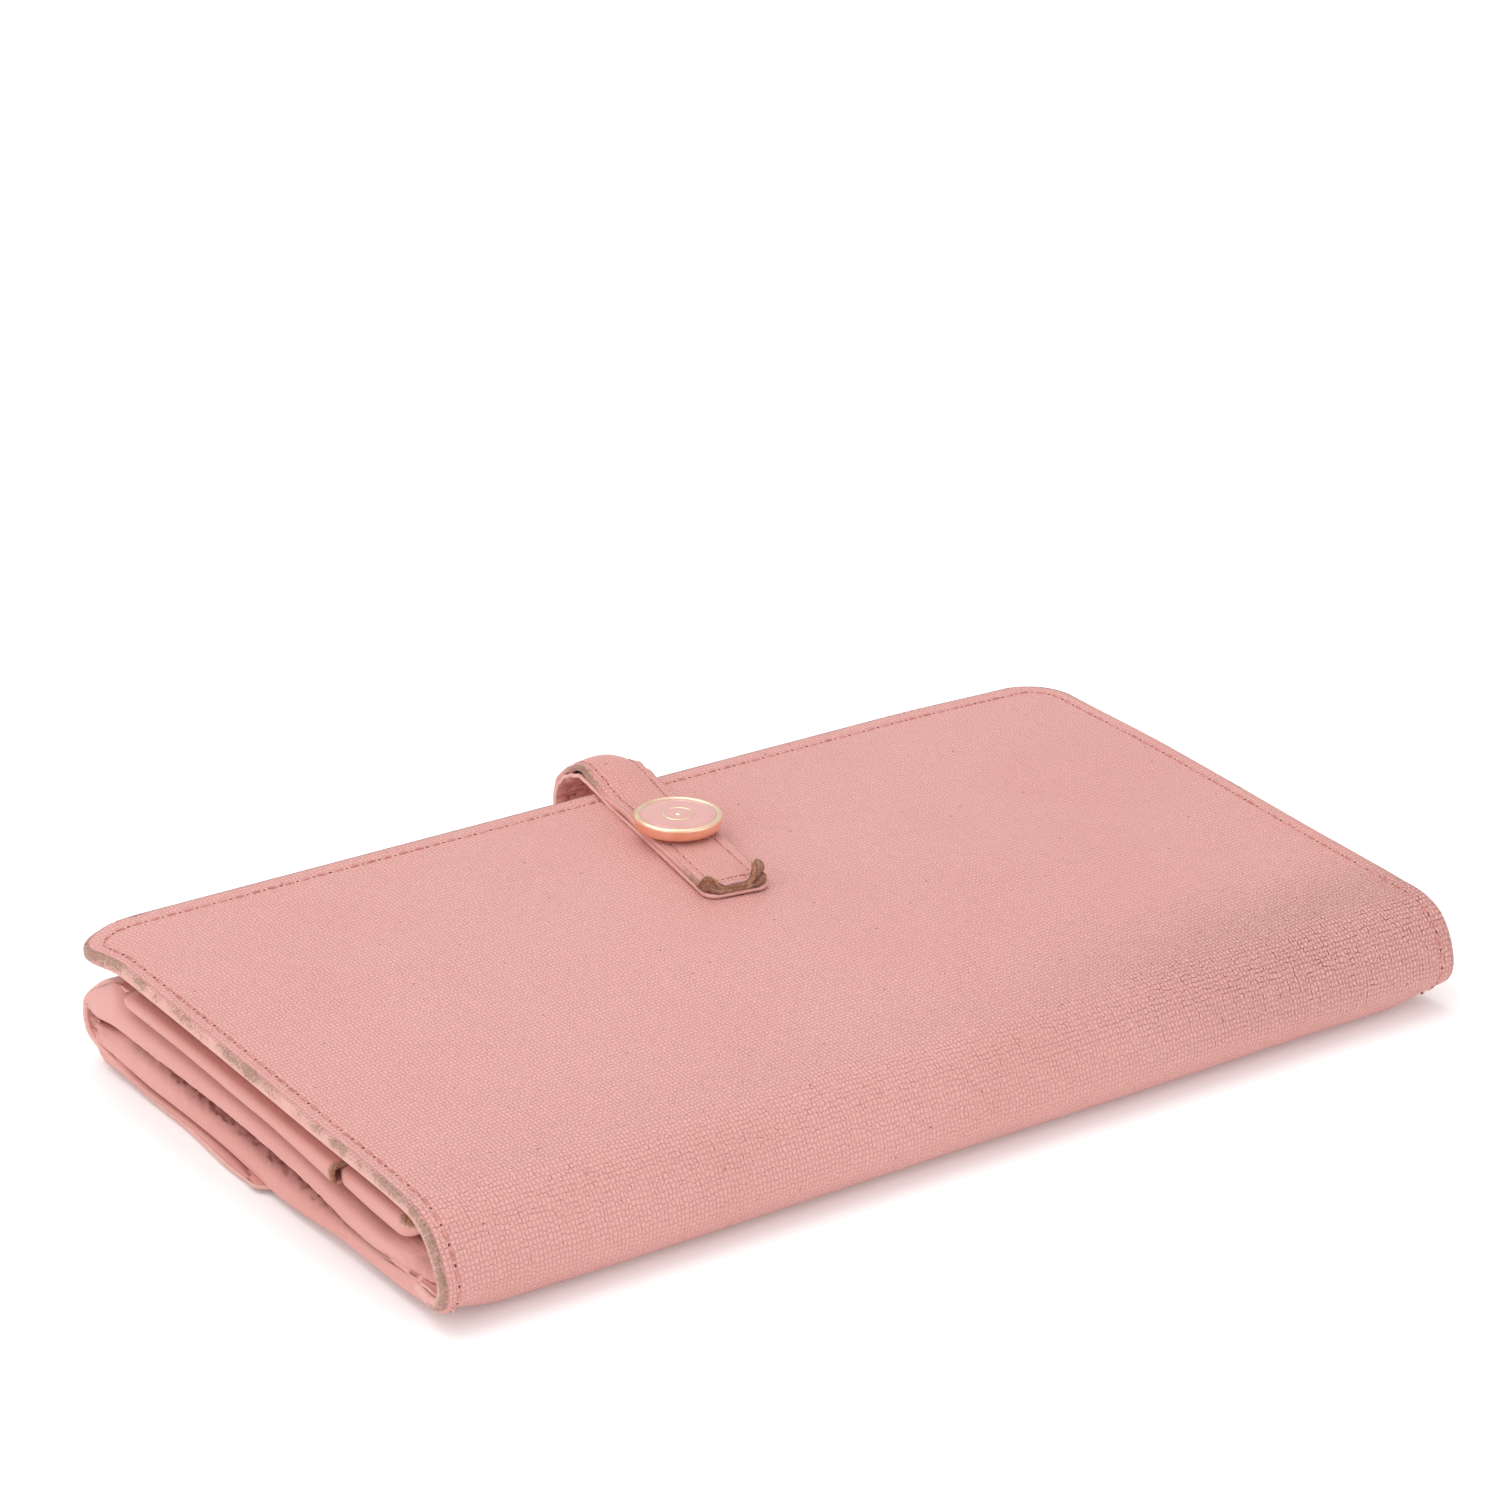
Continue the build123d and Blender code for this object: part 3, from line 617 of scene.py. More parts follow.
# ----- stitching
class Stitching:
    """Rows of thread and needle holes, gathered into one mesh."""

    def __init__(self):
        self.verts, self.faces, self.hole_faces = [], [], []

    def row(self, patch, path, pitch=STITCH_PITCH, radius=0.24, gap=0.75, first=0):
        """Stitches along a path of (a, b) places on a patch."""
        path = np.array(path, float)
        places = patch.at(path[:, 0], path[:, 1])
        way = np.concatenate([[0], np.cumsum(np.linalg.norm(np.diff(places, axis=0), axis=1))])
        count = max(1, int(way[-1] / pitch))
        pitch = way[-1] / count
        for k in range(count + 1):
            if k >= first:
                self.hole(*self.on(patch, path, way, k * pitch), radius * 1.15)
            if k == count:
                continue
            start, end = k * pitch + gap / 2, (k + 1) * pitch - gap / 2
            stops = [self.on(patch, path, way, start + (end - start) * t) for t in (0, 0.2, 0.5, 0.8, 1)]
            self.thread(stops, radius, random.uniform(-0.09, 0.09))

    def on(self, patch, path, way, at):
        a, b = (np.interp(at, way, path[:, k]) for k in (0, 1))
        place, out = patch.at(a, b), patch.normal(a, b)
        a2, b2 = (np.interp(at + 0.1, way, path[:, k]) for k in (0, 1))
        a1, b1 = (np.interp(at - 0.1, way, path[:, k]) for k in (0, 1))
        along = patch.at(a2, b2) - patch.at(a1, b1)
        return place, out, along / max(np.linalg.norm(along), 1e-9)

    def thread(self, stops, radius, slant):
        sides, base = 6, len(self.verts)
        for k, (place, out, along) in enumerate(stops):
            aside = np.cross(along, out)
            r = radius * (0.55, 0.95, 1.0, 0.95, 0.55)[k]
            sink = (0.22, -0.02, -0.08, -0.02, 0.22)[k]
            middle = place - out * sink + aside * slant * (k - 2)
            for m in range(sides):
                angle = 2 * math.pi * m / sides
                self.verts.append(middle + aside * r * math.cos(angle) + out * 0.8 * r * math.sin(angle))
        for k in range(len(stops) - 1):
            for m in range(sides):
                n = (m + 1) % sides
                a = base + k * sides
                self.faces.append((a + m, a + sides + m, a + sides + n, a + n))
        last = base + (len(stops) - 1) * sides
        self.faces.append(tuple(base + m for m in range(sides)))
        self.faces.append(tuple(last + m for m in reversed(range(sides))))

    # Each hole is a small dark plug on the surface, painted shade for the shadow inside the hole.
    def hole(self, place, out, along, radius):
        sides, base = 8, len(self.verts)
        aside = np.cross(along, out)
        radius *= random.uniform(0.75, 1.15)
        for level, share in ((-0.1, 1.0), (0.035, 1.0)):
            for m in range(sides):
                angle = 2 * math.pi * m / sides
                self.verts.append(
                    place + out * level + share * radius * (along * math.cos(angle) + aside * 0.75 * math.sin(angle))
                )
        for m in range(sides):
            n = (m + 1) % sides
            self.hole_faces.append((base + m, base + sides + m, base + sides + n, base + n))
        self.hole_faces.append(tuple(base + m for m in range(sides)))
        self.hole_faces.append(tuple(base + sides + m for m in reversed(range(sides))))

    def piece(self, name, slot):
        made = mesh_piece(name, self.verts, [list(f) for f in self.faces + self.hole_faces])
        dress(made, THREAD)
        made.data.materials.append(HOLE_SHADE)
        marks = np.zeros(len(made.data.polygons), np.int32)
        marks[len(self.faces):] = 1
        made.data.polygons.foreach_set("material_index", marks)
        return made


def inset_path(half, end, corner, inset, start):
    """Path beside a sheet's border: up one side, round the far corners and down the other."""
    radius = corner - inset
    turn = np.radians(np.linspace(0, 90, 12))
    left = [(-(half - corner) - radius * math.cos(a), end - corner + radius * math.sin(a)) for a in turn]
    path = [(-(half - inset), start)] + left
    path += [(-x, s) for x, s in reversed(path)]
    return path


def dense(path, pitch=0.8):
    """The same path with places close together."""
    path = np.array(path, float)
    way = np.concatenate([[0], np.cumsum(np.linalg.norm(np.diff(path, axis=0), axis=1))])
    even = np.linspace(0, way[-1], int(way[-1] / pitch) + 2)
    return np.column_stack([np.interp(even, way, path[:, k]) for k in (0, 1)])


def from_edge(x, s, half, end, corner):
    """Distance in from the border of a sheet with rounded far corners."""
    a, b = np.abs(x) - (half - corner), s - (end - corner)
    near_corner = corner - np.hypot(np.maximum(a, 0), np.maximum(b, 0))
    plain = np.minimum(half - np.abs(x), end - s)
    return np.where((a > 0) & (b > 0), near_corner, plain)


def sewn_edge(distance):
    """Relief of a sewn edge: a groove along the stitches and a little fullness outside it."""
    return -0.1 * hump(distance, STITCH_INSET, 0.42) + 0.05 * hump(distance, 1.35, 0.6)


# ----- outline tables of the open ends
END_BOTTOM = table([(43, 4.9), (38, 3.9), (31, 3.4), (24, 2.9), (16, 2.9), (8, 2.6), (0, 2.3), (-9, 1.3),
                    (-14, 0.9), (-19, 1.2), (-27, 1.9), (-33, 2.1), (-45, 1.6), (-55, 2.2)])
LOWER_LIP = table([(40, 6.3), (34, 7.6), (25, 8.0), (8, 6.6), (-9, 5.8), (-27, 4.9), (-40, 4.7), (-47, 5.5)])
UPPER_LIP = table([(42, 7.6), (36, 8.7), (30, 8.9), (0, 8.5), (-9, 8.1), (-19, 7.4), (-31, 5.6), (-40, 5.0),
                   (-47, 5.6)])
POCKET_LINE = table([(40, 14.9), (30, 14.6), (14, 14.0), (-12, 12.7), (-26, 11.3), (-36, 10.1), (-44, 9.4),
                     (-55, 9.6)])


def flap_slack(y):
    """How far the flap's ends stand out beyond the pocket."""
    return 1.2 * (1 - step(y, -2, 16)) - 0.3 * (1 - step(y, -13, -7))


# ----- back, spine and cover
back_skin = Skin(SKIN_BACK + SKIN_SPINE + SKIN_COVER)
S_MIDDLE = back_skin.way_at(1, SPINE_MIDDLE_Z)
S_END = back_skin.length
S_LOWER = back_skin.way_at(0, -52)
S_UPPER = back_skin.way_at(1, 12.3)

END_LIFT = table([(-60, 2.6), (-56, 3.1), (-50, 2.4), (-41, 2.3), (-33, 1.9), (-27, 1.6), (-20, 1.0),
                  (-9, 0.3), (0, 0.5), (30, 0.4)])


def skin_shift(x, s):
    """Relief of the outer leather: sewn edge, slack between its stiff parts, and creases beside the spine."""
    edge = from_edge(x, s, HALF, S_END, COVER_CORNER)
    relief = sewn_edge(edge)
    relief = relief + 0.22 * rough(x / 38, s / 26) * step(edge, 2, 14)
    beside_spine = hump(s, S_UPPER + 9, 9) * step(x, 10, 85)
    folds = rough(x / 26, s / 1.7 + 0.3 * rough(x / 12, s / 9))
    bulge = 1.0 * hump(s, S_UPPER + 1, 6.5) * step(x, 62, 92) - 0.5 * hump(s, S_LOWER + 6, 3) * step(x, 80, 92)
    return relief + bulge + 0.035 * folds * beside_spine * step(edge, 0.5, 4)


def skin_lift(x, s):
    """How the outer leather stands off its plain line: a fuller cover, hanging corners, and curled lower ends."""
    corner = np.hypot(x + HALF, s - S_END)
    right_corner = np.hypot(x - HALF, s - S_END)
    fuller = 0.5 * step(s, S_UPPER + 8, S_END - 30)
    droop = -0.8 * (1 - step(corner, 1, 11)) - 0.6 * (1 - step(right_corner, 4, 34))
    y = np.interp(s, back_skin_line_way, back_skin_line_y)
    low = 1 - step(s, S_LOWER, S_MIDDLE)
    curl = END_LIFT(y) * step(np.abs(x), 80, 92) ** 1.4 * low * np.where(x > 0, 0.6, 1.0)
    return fuller + droop + curl


def skin_pull(x, s):
    """The cover's far left corner is stretched outwards."""
    corner = np.hypot(x + HALF, s - S_END)
    return -2.3 * (1 - step(corner, 1, 14)), 0


back_skin_line_way, back_skin_line_y = back_skin.way, back_skin.line[:, 0]
back_skin.shift, back_skin.lift, back_skin.pull = skin_shift, skin_lift, skin_pull


def back_half(s):
    """Half width of the outer leather: a little less under the wallet than at the spine."""
    return BACK_HALF - 1.2 + (HALF - BACK_HALF + 1.2) * step(s, S_LOWER - 8, S_LOWER + 4)


def edge_wear(x, s):
    """Rubbed places along the middle of the cover's painted edge, and at its far corners and spine corners."""
    edge = from_edge(x, s, HALF, S_END, COVER_CORNER)
    band = hump(edge, -0.75, 1.4)
    streak = 0.66 + 0.9 * rough(s / 13, x * 0) + 0.5 * rough(s / 3.5, x * 0 + 4)
    strength = np.where(x < 0, 1.0, 0.6) * step(s, S_LOWER - 1, S_LOWER + 5)
    bends = 0.35 * hump(s, S_UPPER + 3, 5) + 0.4 * hump(s, S_LOWER + 7, 5)
    corner = hump(np.hypot(np.abs(x) - HALF, s - S_END), 0, 9)
    near = 1 - step(edge, -0.1, 0.9)
    along_far = 0.5 * (s > S_END - 3)
    return np.clip(band * strength * np.maximum(streak + bends, 0) * (1 - along_far) + 0.55 * near * corner, 0, 0.85)


def crease_mask(piece):
    """Mark where the outer leather is creased by the bend of the spine."""
    uv = np.zeros(len(piece.data.vertices) * 3)
    piece.data.vertices.foreach_get("co", uv)
    y, z = uv[1::3] / MM, uv[2::3] / MM
    x = uv[0::3] / MM
    bend = hump(y, -51, 13) * step(z, 1.5, 9) * (0.25 + 0.75 * step(x, 0, 85))
    set_attribute(piece, "crease", np.clip(bend, 0, 1))


cover = sheet(
    "cover_skin", back_skin,
    spread(S_MIDDLE, S_END, 0.9, (0, 0.05), tuple(sorted(set(SEWN_INSETS + round_rows(COVER_CORNER))))),
    rounded(HALF, COVER_CORNER, S_END), COVER_THICK, rim=0.75, square=0.62, pitch=1.7, insets=SEWN_INSETS, turns=12,
    wear=edge_wear, butt=0,
)
crease_mask(cover)
dress(cover, GRAINED)
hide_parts("cover_leather", "cover_board")

back = sheet(
    "back_skin", back_skin, spread(0, S_MIDDLE, 0.9, PLAIN_INSETS, (0, 0.05)), back_half, COVER_THICK, rim=0.75,
    square=0.62, pitch=1.7, insets=SEWN_INSETS, turns=12, wear=edge_wear, butt=-1,
)
crease_mask(back)
dress(back, GRAINED)
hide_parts("back_leather", "spine_leather")

cover_lining_skin = Skin(SKIN_BACK + SKIN_SPINE + SKIN_COVER, lift=skin_lift, pull=skin_pull, depth=COVER_THICK)
cover_lining = sheet(
    "cover_lining_skin", cover_lining_skin,
    spread(S_MIDDLE, S_END - 0.7, 1.6, (), tuple(sorted(set(PLAIN_INSETS + round_rows(COVER_CORNER - 0.7))))),
    rounded(HALF - 0.7, COVER_CORNER - 0.7, S_END - 0.7), LINING, rim=0.25, pitch=3.0,
)
dress(cover_lining, LINING_LOOK)
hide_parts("cover_lining")

spine_lining_skin = Skin(SKIN_BACK + SKIN_SPINE + SKIN_COVER, lift=skin_lift, depth=COVER_THICK)
spine_lining = sheet(
    "spine_lining_skin", spine_lining_skin, spread(S_LOWER, S_MIDDLE, 0.9), HALF - 0.8, LINING, rim=0.2, pitch=3.0,
)
dress(spine_lining, LINING_LOOK)
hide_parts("spine_lining")

cover_sewing = Stitching()
cover_sewing.row(back_skin, dense(inset_path(HALF, S_END, COVER_CORNER, STITCH_INSET, S_MIDDLE)))
cover_sewing = cover_sewing.piece("cover_stitching", "grained_leather")

back_sewing = Stitching()
for side in (-1, 1):
    side_path = [(side * (back_half(s) - STITCH_INSET), s) for s in np.linspace(S_MIDDLE, 14, 200)]
    back_sewing.row(back_skin, side_path, first=1)
back_sewing = back_sewing.piece("back_stitching", "grained_leather")


# ----- coin pocket: far wall, flap and bellows
wall_skin = Skin(SKIN_WALL + SKIN_FLAP)
W_END = wall_skin.length
W_LOW = wall_skin.way_at(1, 4.6)


def wall_shift(x, s):
    """Relief of the wall and flap: a turned edge, gathers round the nose at each end, and a sewn flap border."""
    end = BACK_HALF - np.abs(x)
    nose = hump(s, W_LOW - 6, 5) * (1 - step(end, 0.1, 2.5))
    gathers = 0.35 * nose * rough(x / 5, s / 0.7)
    on_flap = step(s, W_LOW + 4, W_LOW + 12)
    edge = from_edge(x, s, FLAP_HALF, W_END, FLAP_CORNER)
    return gathers + on_flap * sewn_edge(edge) + 0.14 * rough(x / 24, s / 17) * step(end, 2, 10)


def wall_half(s):
    """Half width of the wall, less along the flap, whose corners are rounded."""
    base = BACK_HALF - 1.3 * (1 - step(s, W_LOW - 10, W_LOW - 5)) + (FLAP_HALF - BACK_HALF) * step(s, W_LOW - 1, W_LOW + 7)
    over = np.clip(FLAP_CORNER - (W_END - np.asarray(s, float)), 0, FLAP_CORNER)
    return base - FLAP_CORNER + np.sqrt(FLAP_CORNER**2 - over**2)


def wall_wear(x, s):
    """Light rubbing on the nose and the flap's corners."""
    edge = from_edge(x, s, FLAP_HALF, W_END, FLAP_CORNER)
    return np.clip((1 - step(edge, -0.2, 0.5)) * (0.05 + 0.4 * rough(x / 20, s / 9)), 0, 0.3)


def wall_pull(x, s):
    """The slack flap's ends stand out."""
    y = np.interp(s, wall_skin.way, wall_skin.line[:, 0])
    return np.sign(x) * flap_slack(y) * step(s, W_LOW, W_LOW + 8) * step(np.abs(x), 83, 91), 0


wall_skin.shift, wall_skin.pull = wall_shift, wall_pull
flap = sheet(
    "wall_and_flap_skin", wall_skin,
    spread(0, W_END, 0.8, PLAIN_INSETS, tuple(sorted(set(SEWN_INSETS + round_rows(FLAP_CORNER))))),
    wall_half, WALL_THICK, rim=0.6, square=0.8, pitch=2.0, insets=(0, 0.7, 1.2, 1.7, 2.2, 2.7, 3.2, 4.0, 5.0), turns=8,
    wear=wall_wear,
)
dress(flap, SMOOTH)
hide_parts("edge_wall", "flap_leather", "flap_lining")

flap_sewing = Stitching()
flap_path = [(x, s) for x, s in dense(inset_path(FLAP_HALF, W_END, FLAP_CORNER, STITCH_INSET, W_LOW + 9))]
flap_sewing.row(wall_skin, flap_path)
flap_sewing = flap_sewing.piece("flap_stitching", "grained_leather")


class EndPatch(Patch):
    """Soft end of a pocket: at each y, a smooth line through (inset, z) points, on the left or right end.

    The first length is the way up the line, one unit to a point, and the second is y.
    """

    reach = 0.1

    def __init__(self, side, face, points, wrinkle=None):
        self.side, self.face, self.points, self.wrinkle = side, face, points, wrinkle

    def at(self, a, b):
        a, b = np.broadcast_arrays(np.asarray(a, float), np.asarray(b, float))
        inset, z = (np.stack(np.broadcast_arrays(*values), -1) for values in zip(*self.points(b)))
        count = inset.shape[-1]
        t = np.clip(a if self.side < 0 else count - 1 - a, 0, count - 1 - 1e-6)
        k = np.floor(t).astype(int)
        f = t - k
        weights = (
            (-f**3 + 2 * f**2 - f) / 2, (3 * f**3 - 5 * f**2 + 2) / 2, (-3 * f**3 + 4 * f**2 + f) / 2, (f**3 - f**2) / 2,
        )
        in_at, z_at = 0.0, 0.0
        for offset, weight in zip((-1, 0, 1, 2), weights):
            pick = np.clip(k + offset, 0, count - 1)[..., None]
            in_at = in_at + weight * np.take_along_axis(inset, pick, -1)[..., 0]
            z_at = z_at + weight * np.take_along_axis(z, pick, -1)[..., 0]
        if self.wrinkle:
            inward, rise = self.wrinkle(t, b)
            in_at, z_at = in_at + inward, z_at + rise
        return np.stack([self.side * (self.face - in_at), b, z_at], -1)


def bellows_points(y):
    """Section of the coin pocket's end. From below: a slope up from the flap, then two rolls with a fold between."""
    low, lower, upper, top = END_BOTTOM(y), LOWER_LIP(y), UPPER_LIP(y), POCKET_LINE(y) + 1.2 * step(y, 30, 34)
    top = np.minimum(top, 15.9 - 0.6 * (y - 34.5))
    at_wall = step(y, 31, 34)
    open_by = step(y, -42, -25)
    nose = step(y, 37.5, 43)
    over_flap = step(y, -13, -8)
    from_z = 1.4 + 3.2 * nose
    from_in = 2.6 - over_flap * (2.25 + flap_slack(y))
    far_in = 0.9 * nose**2
    near_in = 1.5 * step(-y, 47, 57)
    roll = lower - low
    face = top - upper
    return [
        (from_in, low + 0.5 + over_flap * (from_z - low - 0.5)),
        (2.4 - over_flap * (1.9 - 0.4 * nose), low + 0.4 + 0.5 * over_flap * (from_z - low - 0.4)),
        (2.6, low + 0.35), (1.1, low + 0.02), (0.1 + far_in, low + 0.12 * roll),
        (0.4 + far_in + 0.15 * near_in, low + 0.55 * roll),
        (0.2 + 1.7 * open_by * (1 - nose) + far_in + 0.35 * near_in, lower - 0.05),
        (0.3 + 4.9 * open_by * (1 - 0.85 * nose) + far_in + 0.5 * near_in, (lower + upper) / 2 - 0.7 * open_by),
        (0.2 + 0.6 * open_by + far_in + 0.7 * near_in, upper - 0.12),
        (far_in + 0.85 * near_in - 0.1 * open_by, upper + 0.12 * face),
        (0.35 + near_in - 0.35 * at_wall, upper + 0.5 * face), (2.1 - 1.95 * at_wall + near_in, upper + 0.86 * face),
        (4.0 - 3.3 * at_wall + near_in, top + 0.5 - 0.3 * at_wall),
    ]


def bellows_wrinkle(t, y):
    """Fine wrinkles that run into the fold, gathers at the nose and beside the spine, and softer ones on the rolls."""
    fold = hump(t, 6.8, 1.3) * step(y, -43, -30) * (1 - step(y, 24, 32))
    nose = hump(y, 41.5, 3.5) * hump(t, 5, 5)
    spine = hump(y, -53, 5) * step(t, 7, 10)
    fine = 0.5 * rough(y / 2.2, t * 1.1) + 0.6 * rough(y / 1.2, t * 1.6)
    crinkle = hump(t, 6.3, 0.75) * step(y, -37, -24) * (1 - step(y, 18, 28))
    rise = crinkle * (0.8 * rough(y / 1.6, t * 2.6) + 0.75 * rough(y / 0.95 + 5, t * 4))
    inward = (1.2 * fold + 1.1 * spine) * fine + 0.2 * rough(y / 16, t / 3) + 0.7 * nose * rough(y / 2.0, t * 2.3)
    return inward, rise


def roll_points(low_line, face_in, rise):
    """Section of a rolled pocket end, from low_line up to the cards. face_in is how far in its face lies."""
    def points(y):
        closing = 1 - step(y, -50.5, -45)
        far_end = step(y, 27, 31.5)
        top = 13.0 + 0.046 * (y + 46) + rise - 1.0 * far_end
        low = low_line(y) + (top - low_line(y) - 0.9) * closing**2
        high = np.maximum(top - 0.4 * closing, low + 0.4)
        tuck = 1.6 * closing + 1.8 * far_end**2 + (face_in(y) if callable(face_in) else face_in)
        return [
            (4.0, low + 0.35), (1.3 + tuck, low + 0.03), (0.35 + tuck, low + 0.06 * (high - low)),
            (0.0 + tuck, low + 0.45 * (high - low)), (0.2 + tuck, low + 0.85 * (high - low)),
            (1.6 + tuck, high + 0.1), (5.5, high + 0.2),
        ]
    return points


def roll_wrinkle(t, y):
    """Slight unevenness of a rolled end."""
    return 0.16 * rough(y / 18, t / 3) + 0.05 * rough(y / 5, t / 2), 0


def card_panel_wear(a, y):
    """The card panel's corner is rubbed through to raw leather."""
    return np.clip(2.4 * hump(y, -30.7, 1.1) * hump(a, 3.4, 1.9), 0, 1.5)


def pocket_wear(a, y):
    return np.clip(2.2 * hump(y, -47.6, 1.8) * hump(a, 4.6, 1.1), 0, 1.5)


def pocket_low(y):
    """Lower edge of the pocket's end, hidden where the card panel covers it."""
    return POCKET_LINE(y) + 0.4 * step(y, -31.5, -29)


def pocket_face(y):
    """How far in the face of the pocket's end lies."""
    return -0.1 + 0.9 * step(y, -31.5, -29)


def painted_shade_mask(piece, bellows=False):
    """Painted shade on a pocket's end: darker behind its face, at the far ends of the rolled ends, on the bellows where
    each roll runs in under another, and in the crumples beside the spine.
    """
    places = np.zeros(len(piece.data.vertices) * 3)
    piece.data.vertices.foreach_get("co", places)
    inset, y, z = BACK_HALF - np.abs(places[0::3] / MM), places[1::3] / MM, places[2::3] / MM
    behind = step(inset, 0.8, 3.2) * (1 if bellows else 0.75 - 0.6 * step(inset, 2.6, 4.2))
    painted_shade = np.maximum(behind, 0.8 * step(y, 28.5, 31) * (not bellows))
    if bellows:
        low, lower, upper, top = END_BOTTOM(y), LOWER_LIP(y), UPPER_LIP(y), POCKET_LINE(y)
        ends = ((1.5, low - 0.1), (low + 0.4 * (lower - low), lower + 0.2), (upper + 0.3 * (top - upper), top - 1.0))
        under = sum(step(z, start, end) ** 1.5 * (z < limit) for (start, end), limit in zip(ends, (low, upper, 99)))
        creased = 0.6 * hump(y, -54, 5) * step(z, 5.5, 8)
        painted_shade = np.maximum(painted_shade, under * (1 - step(y, 28, 34)) * step(y, -50, -40) + creased)
    set_attribute(piece, "painted_shade", np.clip(painted_shade, 0, 1))


for side, word in ((-1, "left"), (1, "right")):
    bellows = EndPatch(side, BACK_HALF, bellows_points, bellows_wrinkle)
    piece = sheet(
        f"bellows_{word}", bellows, spread(-56.3, 43.1, 0.42), None, 0.7, rim=0.15, pitch=0.16, insets=(0, 0.12),
        span=(0, 12),
    )
    painted_shade_mask(piece, bellows=True)
    dress(piece, SMOOTH)
    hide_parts(f"coin_gusset_{word}")
    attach(piece, "root")

    pocket = EndPatch(side, BACK_HALF - 0.3, roll_points(pocket_low, pocket_face, -0.35), roll_wrinkle)
    piece = sheet(
        f"pocket_end_{word}", pocket, spread(-50.2, 31.0, 0.7), None, 0.6, rim=0.15, pitch=0.16, insets=(0, 0.12),
        span=(0, 6), wear=(lambda a, y, side=side: pocket_wear(a if side < 0 else 6 - a, y)),
    )
    painted_shade_mask(piece)
    dress(piece, SMOOTH)
    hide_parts(f"inner_pocket_end_{word}")
    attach(piece, "root")

    panel = EndPatch(side, BACK_HALF - 0.25, roll_points(POCKET_LINE, -1.2, 0.1), roll_wrinkle)
    piece = sheet(
        f"card_panel_end_{word}", panel, spread(-30.5, 31.5, 0.7, (0, 0.4, 0.8)), None, 0.6, rim=0.3, pitch=0.16,
        insets=(0, 0.12), span=(0, 6), wear=(lambda a, y, side=side: card_panel_wear(a if side < 0 else 6 - a, y)),
    )
    painted_shade_mask(piece)
    dress(piece, SMOOTH)
    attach(piece, "root")


# ----- leaves inside: pockets and card slots
pocket_wall_skin = Skin([(-54, 2.3), (-49, 7.15), (-44, 9.4), (39.4, 12.2)])
pocket_wall = sheet("pocket_wall_skin", pocket_wall_skin, spread(0, pocket_wall_skin.length, 2, PLAIN_INSETS),
                    BACK_HALF - 3, 0.75, rim=0.3, pitch=3.5)
dress(pocket_wall, LINING_LOOK)
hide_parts("coin_pocket_wall")
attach(pocket_wall, "root")


def leaf(node, mouth_detail, look, corner=0.0, body="root"):
    """Sheet in place of a straight CAD leaf, with a soft edge and a pressed line along its mouth."""
    low, high = corners(node)
    mesh = frame["nodes"][node].data
    thick_at = [v.co.z / MM for v in mesh.vertices if abs(v.co.y / MM - low.y) < 0.05]
    far_at = [v.co.z / MM for v in mesh.vertices if abs(v.co.y / MM - high.y) < 0.05]
    thick = max(thick_at) - min(thick_at)
    centre, half = (low.x + high.x) / 2, (high.x - low.x) / 2

    length = math.hypot(high.y - low.y, max(far_at) - max(thick_at))

    def relief(x, s):
        pressed = -0.07 * hump(s, length - mouth_detail, 0.3) - 0.07 * hump(half - np.abs(x), mouth_detail, 0.3)
        return pressed + 0.05 * rough(x / 22 + low.y, s / 15)

    skin = Skin([(low.y, max(thick_at)), ((low.y + high.y) / 2, (max(thick_at) + max(far_at)) / 2),
                 (high.y, max(far_at))], shift=relief, centre=centre)
    piece = sheet(node + "_leaf", skin, spread(0, skin.length, 2.2, PLAIN_INSETS, (0, 0.5, 1.0, 1.5, 1.9, 2.3, 3)),
                  half, thick, rim=min(0.3, thick / 2), pitch=3.5, insets=(0, 0.5, 1.1, 1.6, 2.2), turns=5)
    dress(piece, look)
    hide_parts(node)
    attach(piece, body)
    return piece


for node, material, slot_name in (
    ("bill_divider", LINING_LOOK, "lining_leather"), ("inner_pocket_back", LINING_LOOK, "lining_leather"),
    ("inner_pocket_face", SMOOTH, "smooth_leather"),
):
    leaf(node, 1.6, material)
for word in ("left", "right"):
    for n in (1, 2, 3):
        leaf(f"inner_card_slot_{word}_{n}", 1.6, SMOOTH)


# ----- strap
STRAP_LINE = [
    (-46, 21.55), (-36, 22.0), (-24, 22.5), (-16, 22.75), (-10.5, 22.9), (-4, 23.65), (1.2, 23.75), (6.2, 21.9),
    (10.1, 18.8), (11.5, 14.7), (10.3, 10.8), (6.6, 7.7), (2.6, 6.7), (-2, 6.4), (-7, 6.4),
]
STRAP_LEATHER = 1.0
STRAP_LINING = 0.65
TIP_CORNER = 2.2
STRAP_STITCH_INSET = 1.9

strap_skin = Skin(STRAP_LINE, turned=True)
T_END = strap_skin.length
T_LOOP = strap_skin.way_at(0, 6.2)


def strap_from_edge(x, s):
    """Distance in from the strap's border. Its rounded corners are at its start."""
    return from_edge(x, -s, STRAP_HALF, 0, TIP_CORNER)


def tip_roll(x, s):
    """The tip's two corners are rolled up and back, the right one more: how far back, and how far up."""
    corner = (STRAP_HALF - np.abs(x) + s - 0.7) / math.sqrt(2)
    rolled = np.clip(np.where(x < 0, 2.7, 3.4) - corner, 0, 2.5)
    radius = np.where(x < 0, 0.8, 0.85)
    return rolled - radius * np.sin(rolled / radius), radius * (1 - np.cos(rolled / radius))


def strap_pull(x, s):
    """The rolled corners are drawn in."""
    back_by = tip_roll(x, s)[0] / math.sqrt(2)
    return -np.sign(x) * back_by, back_by


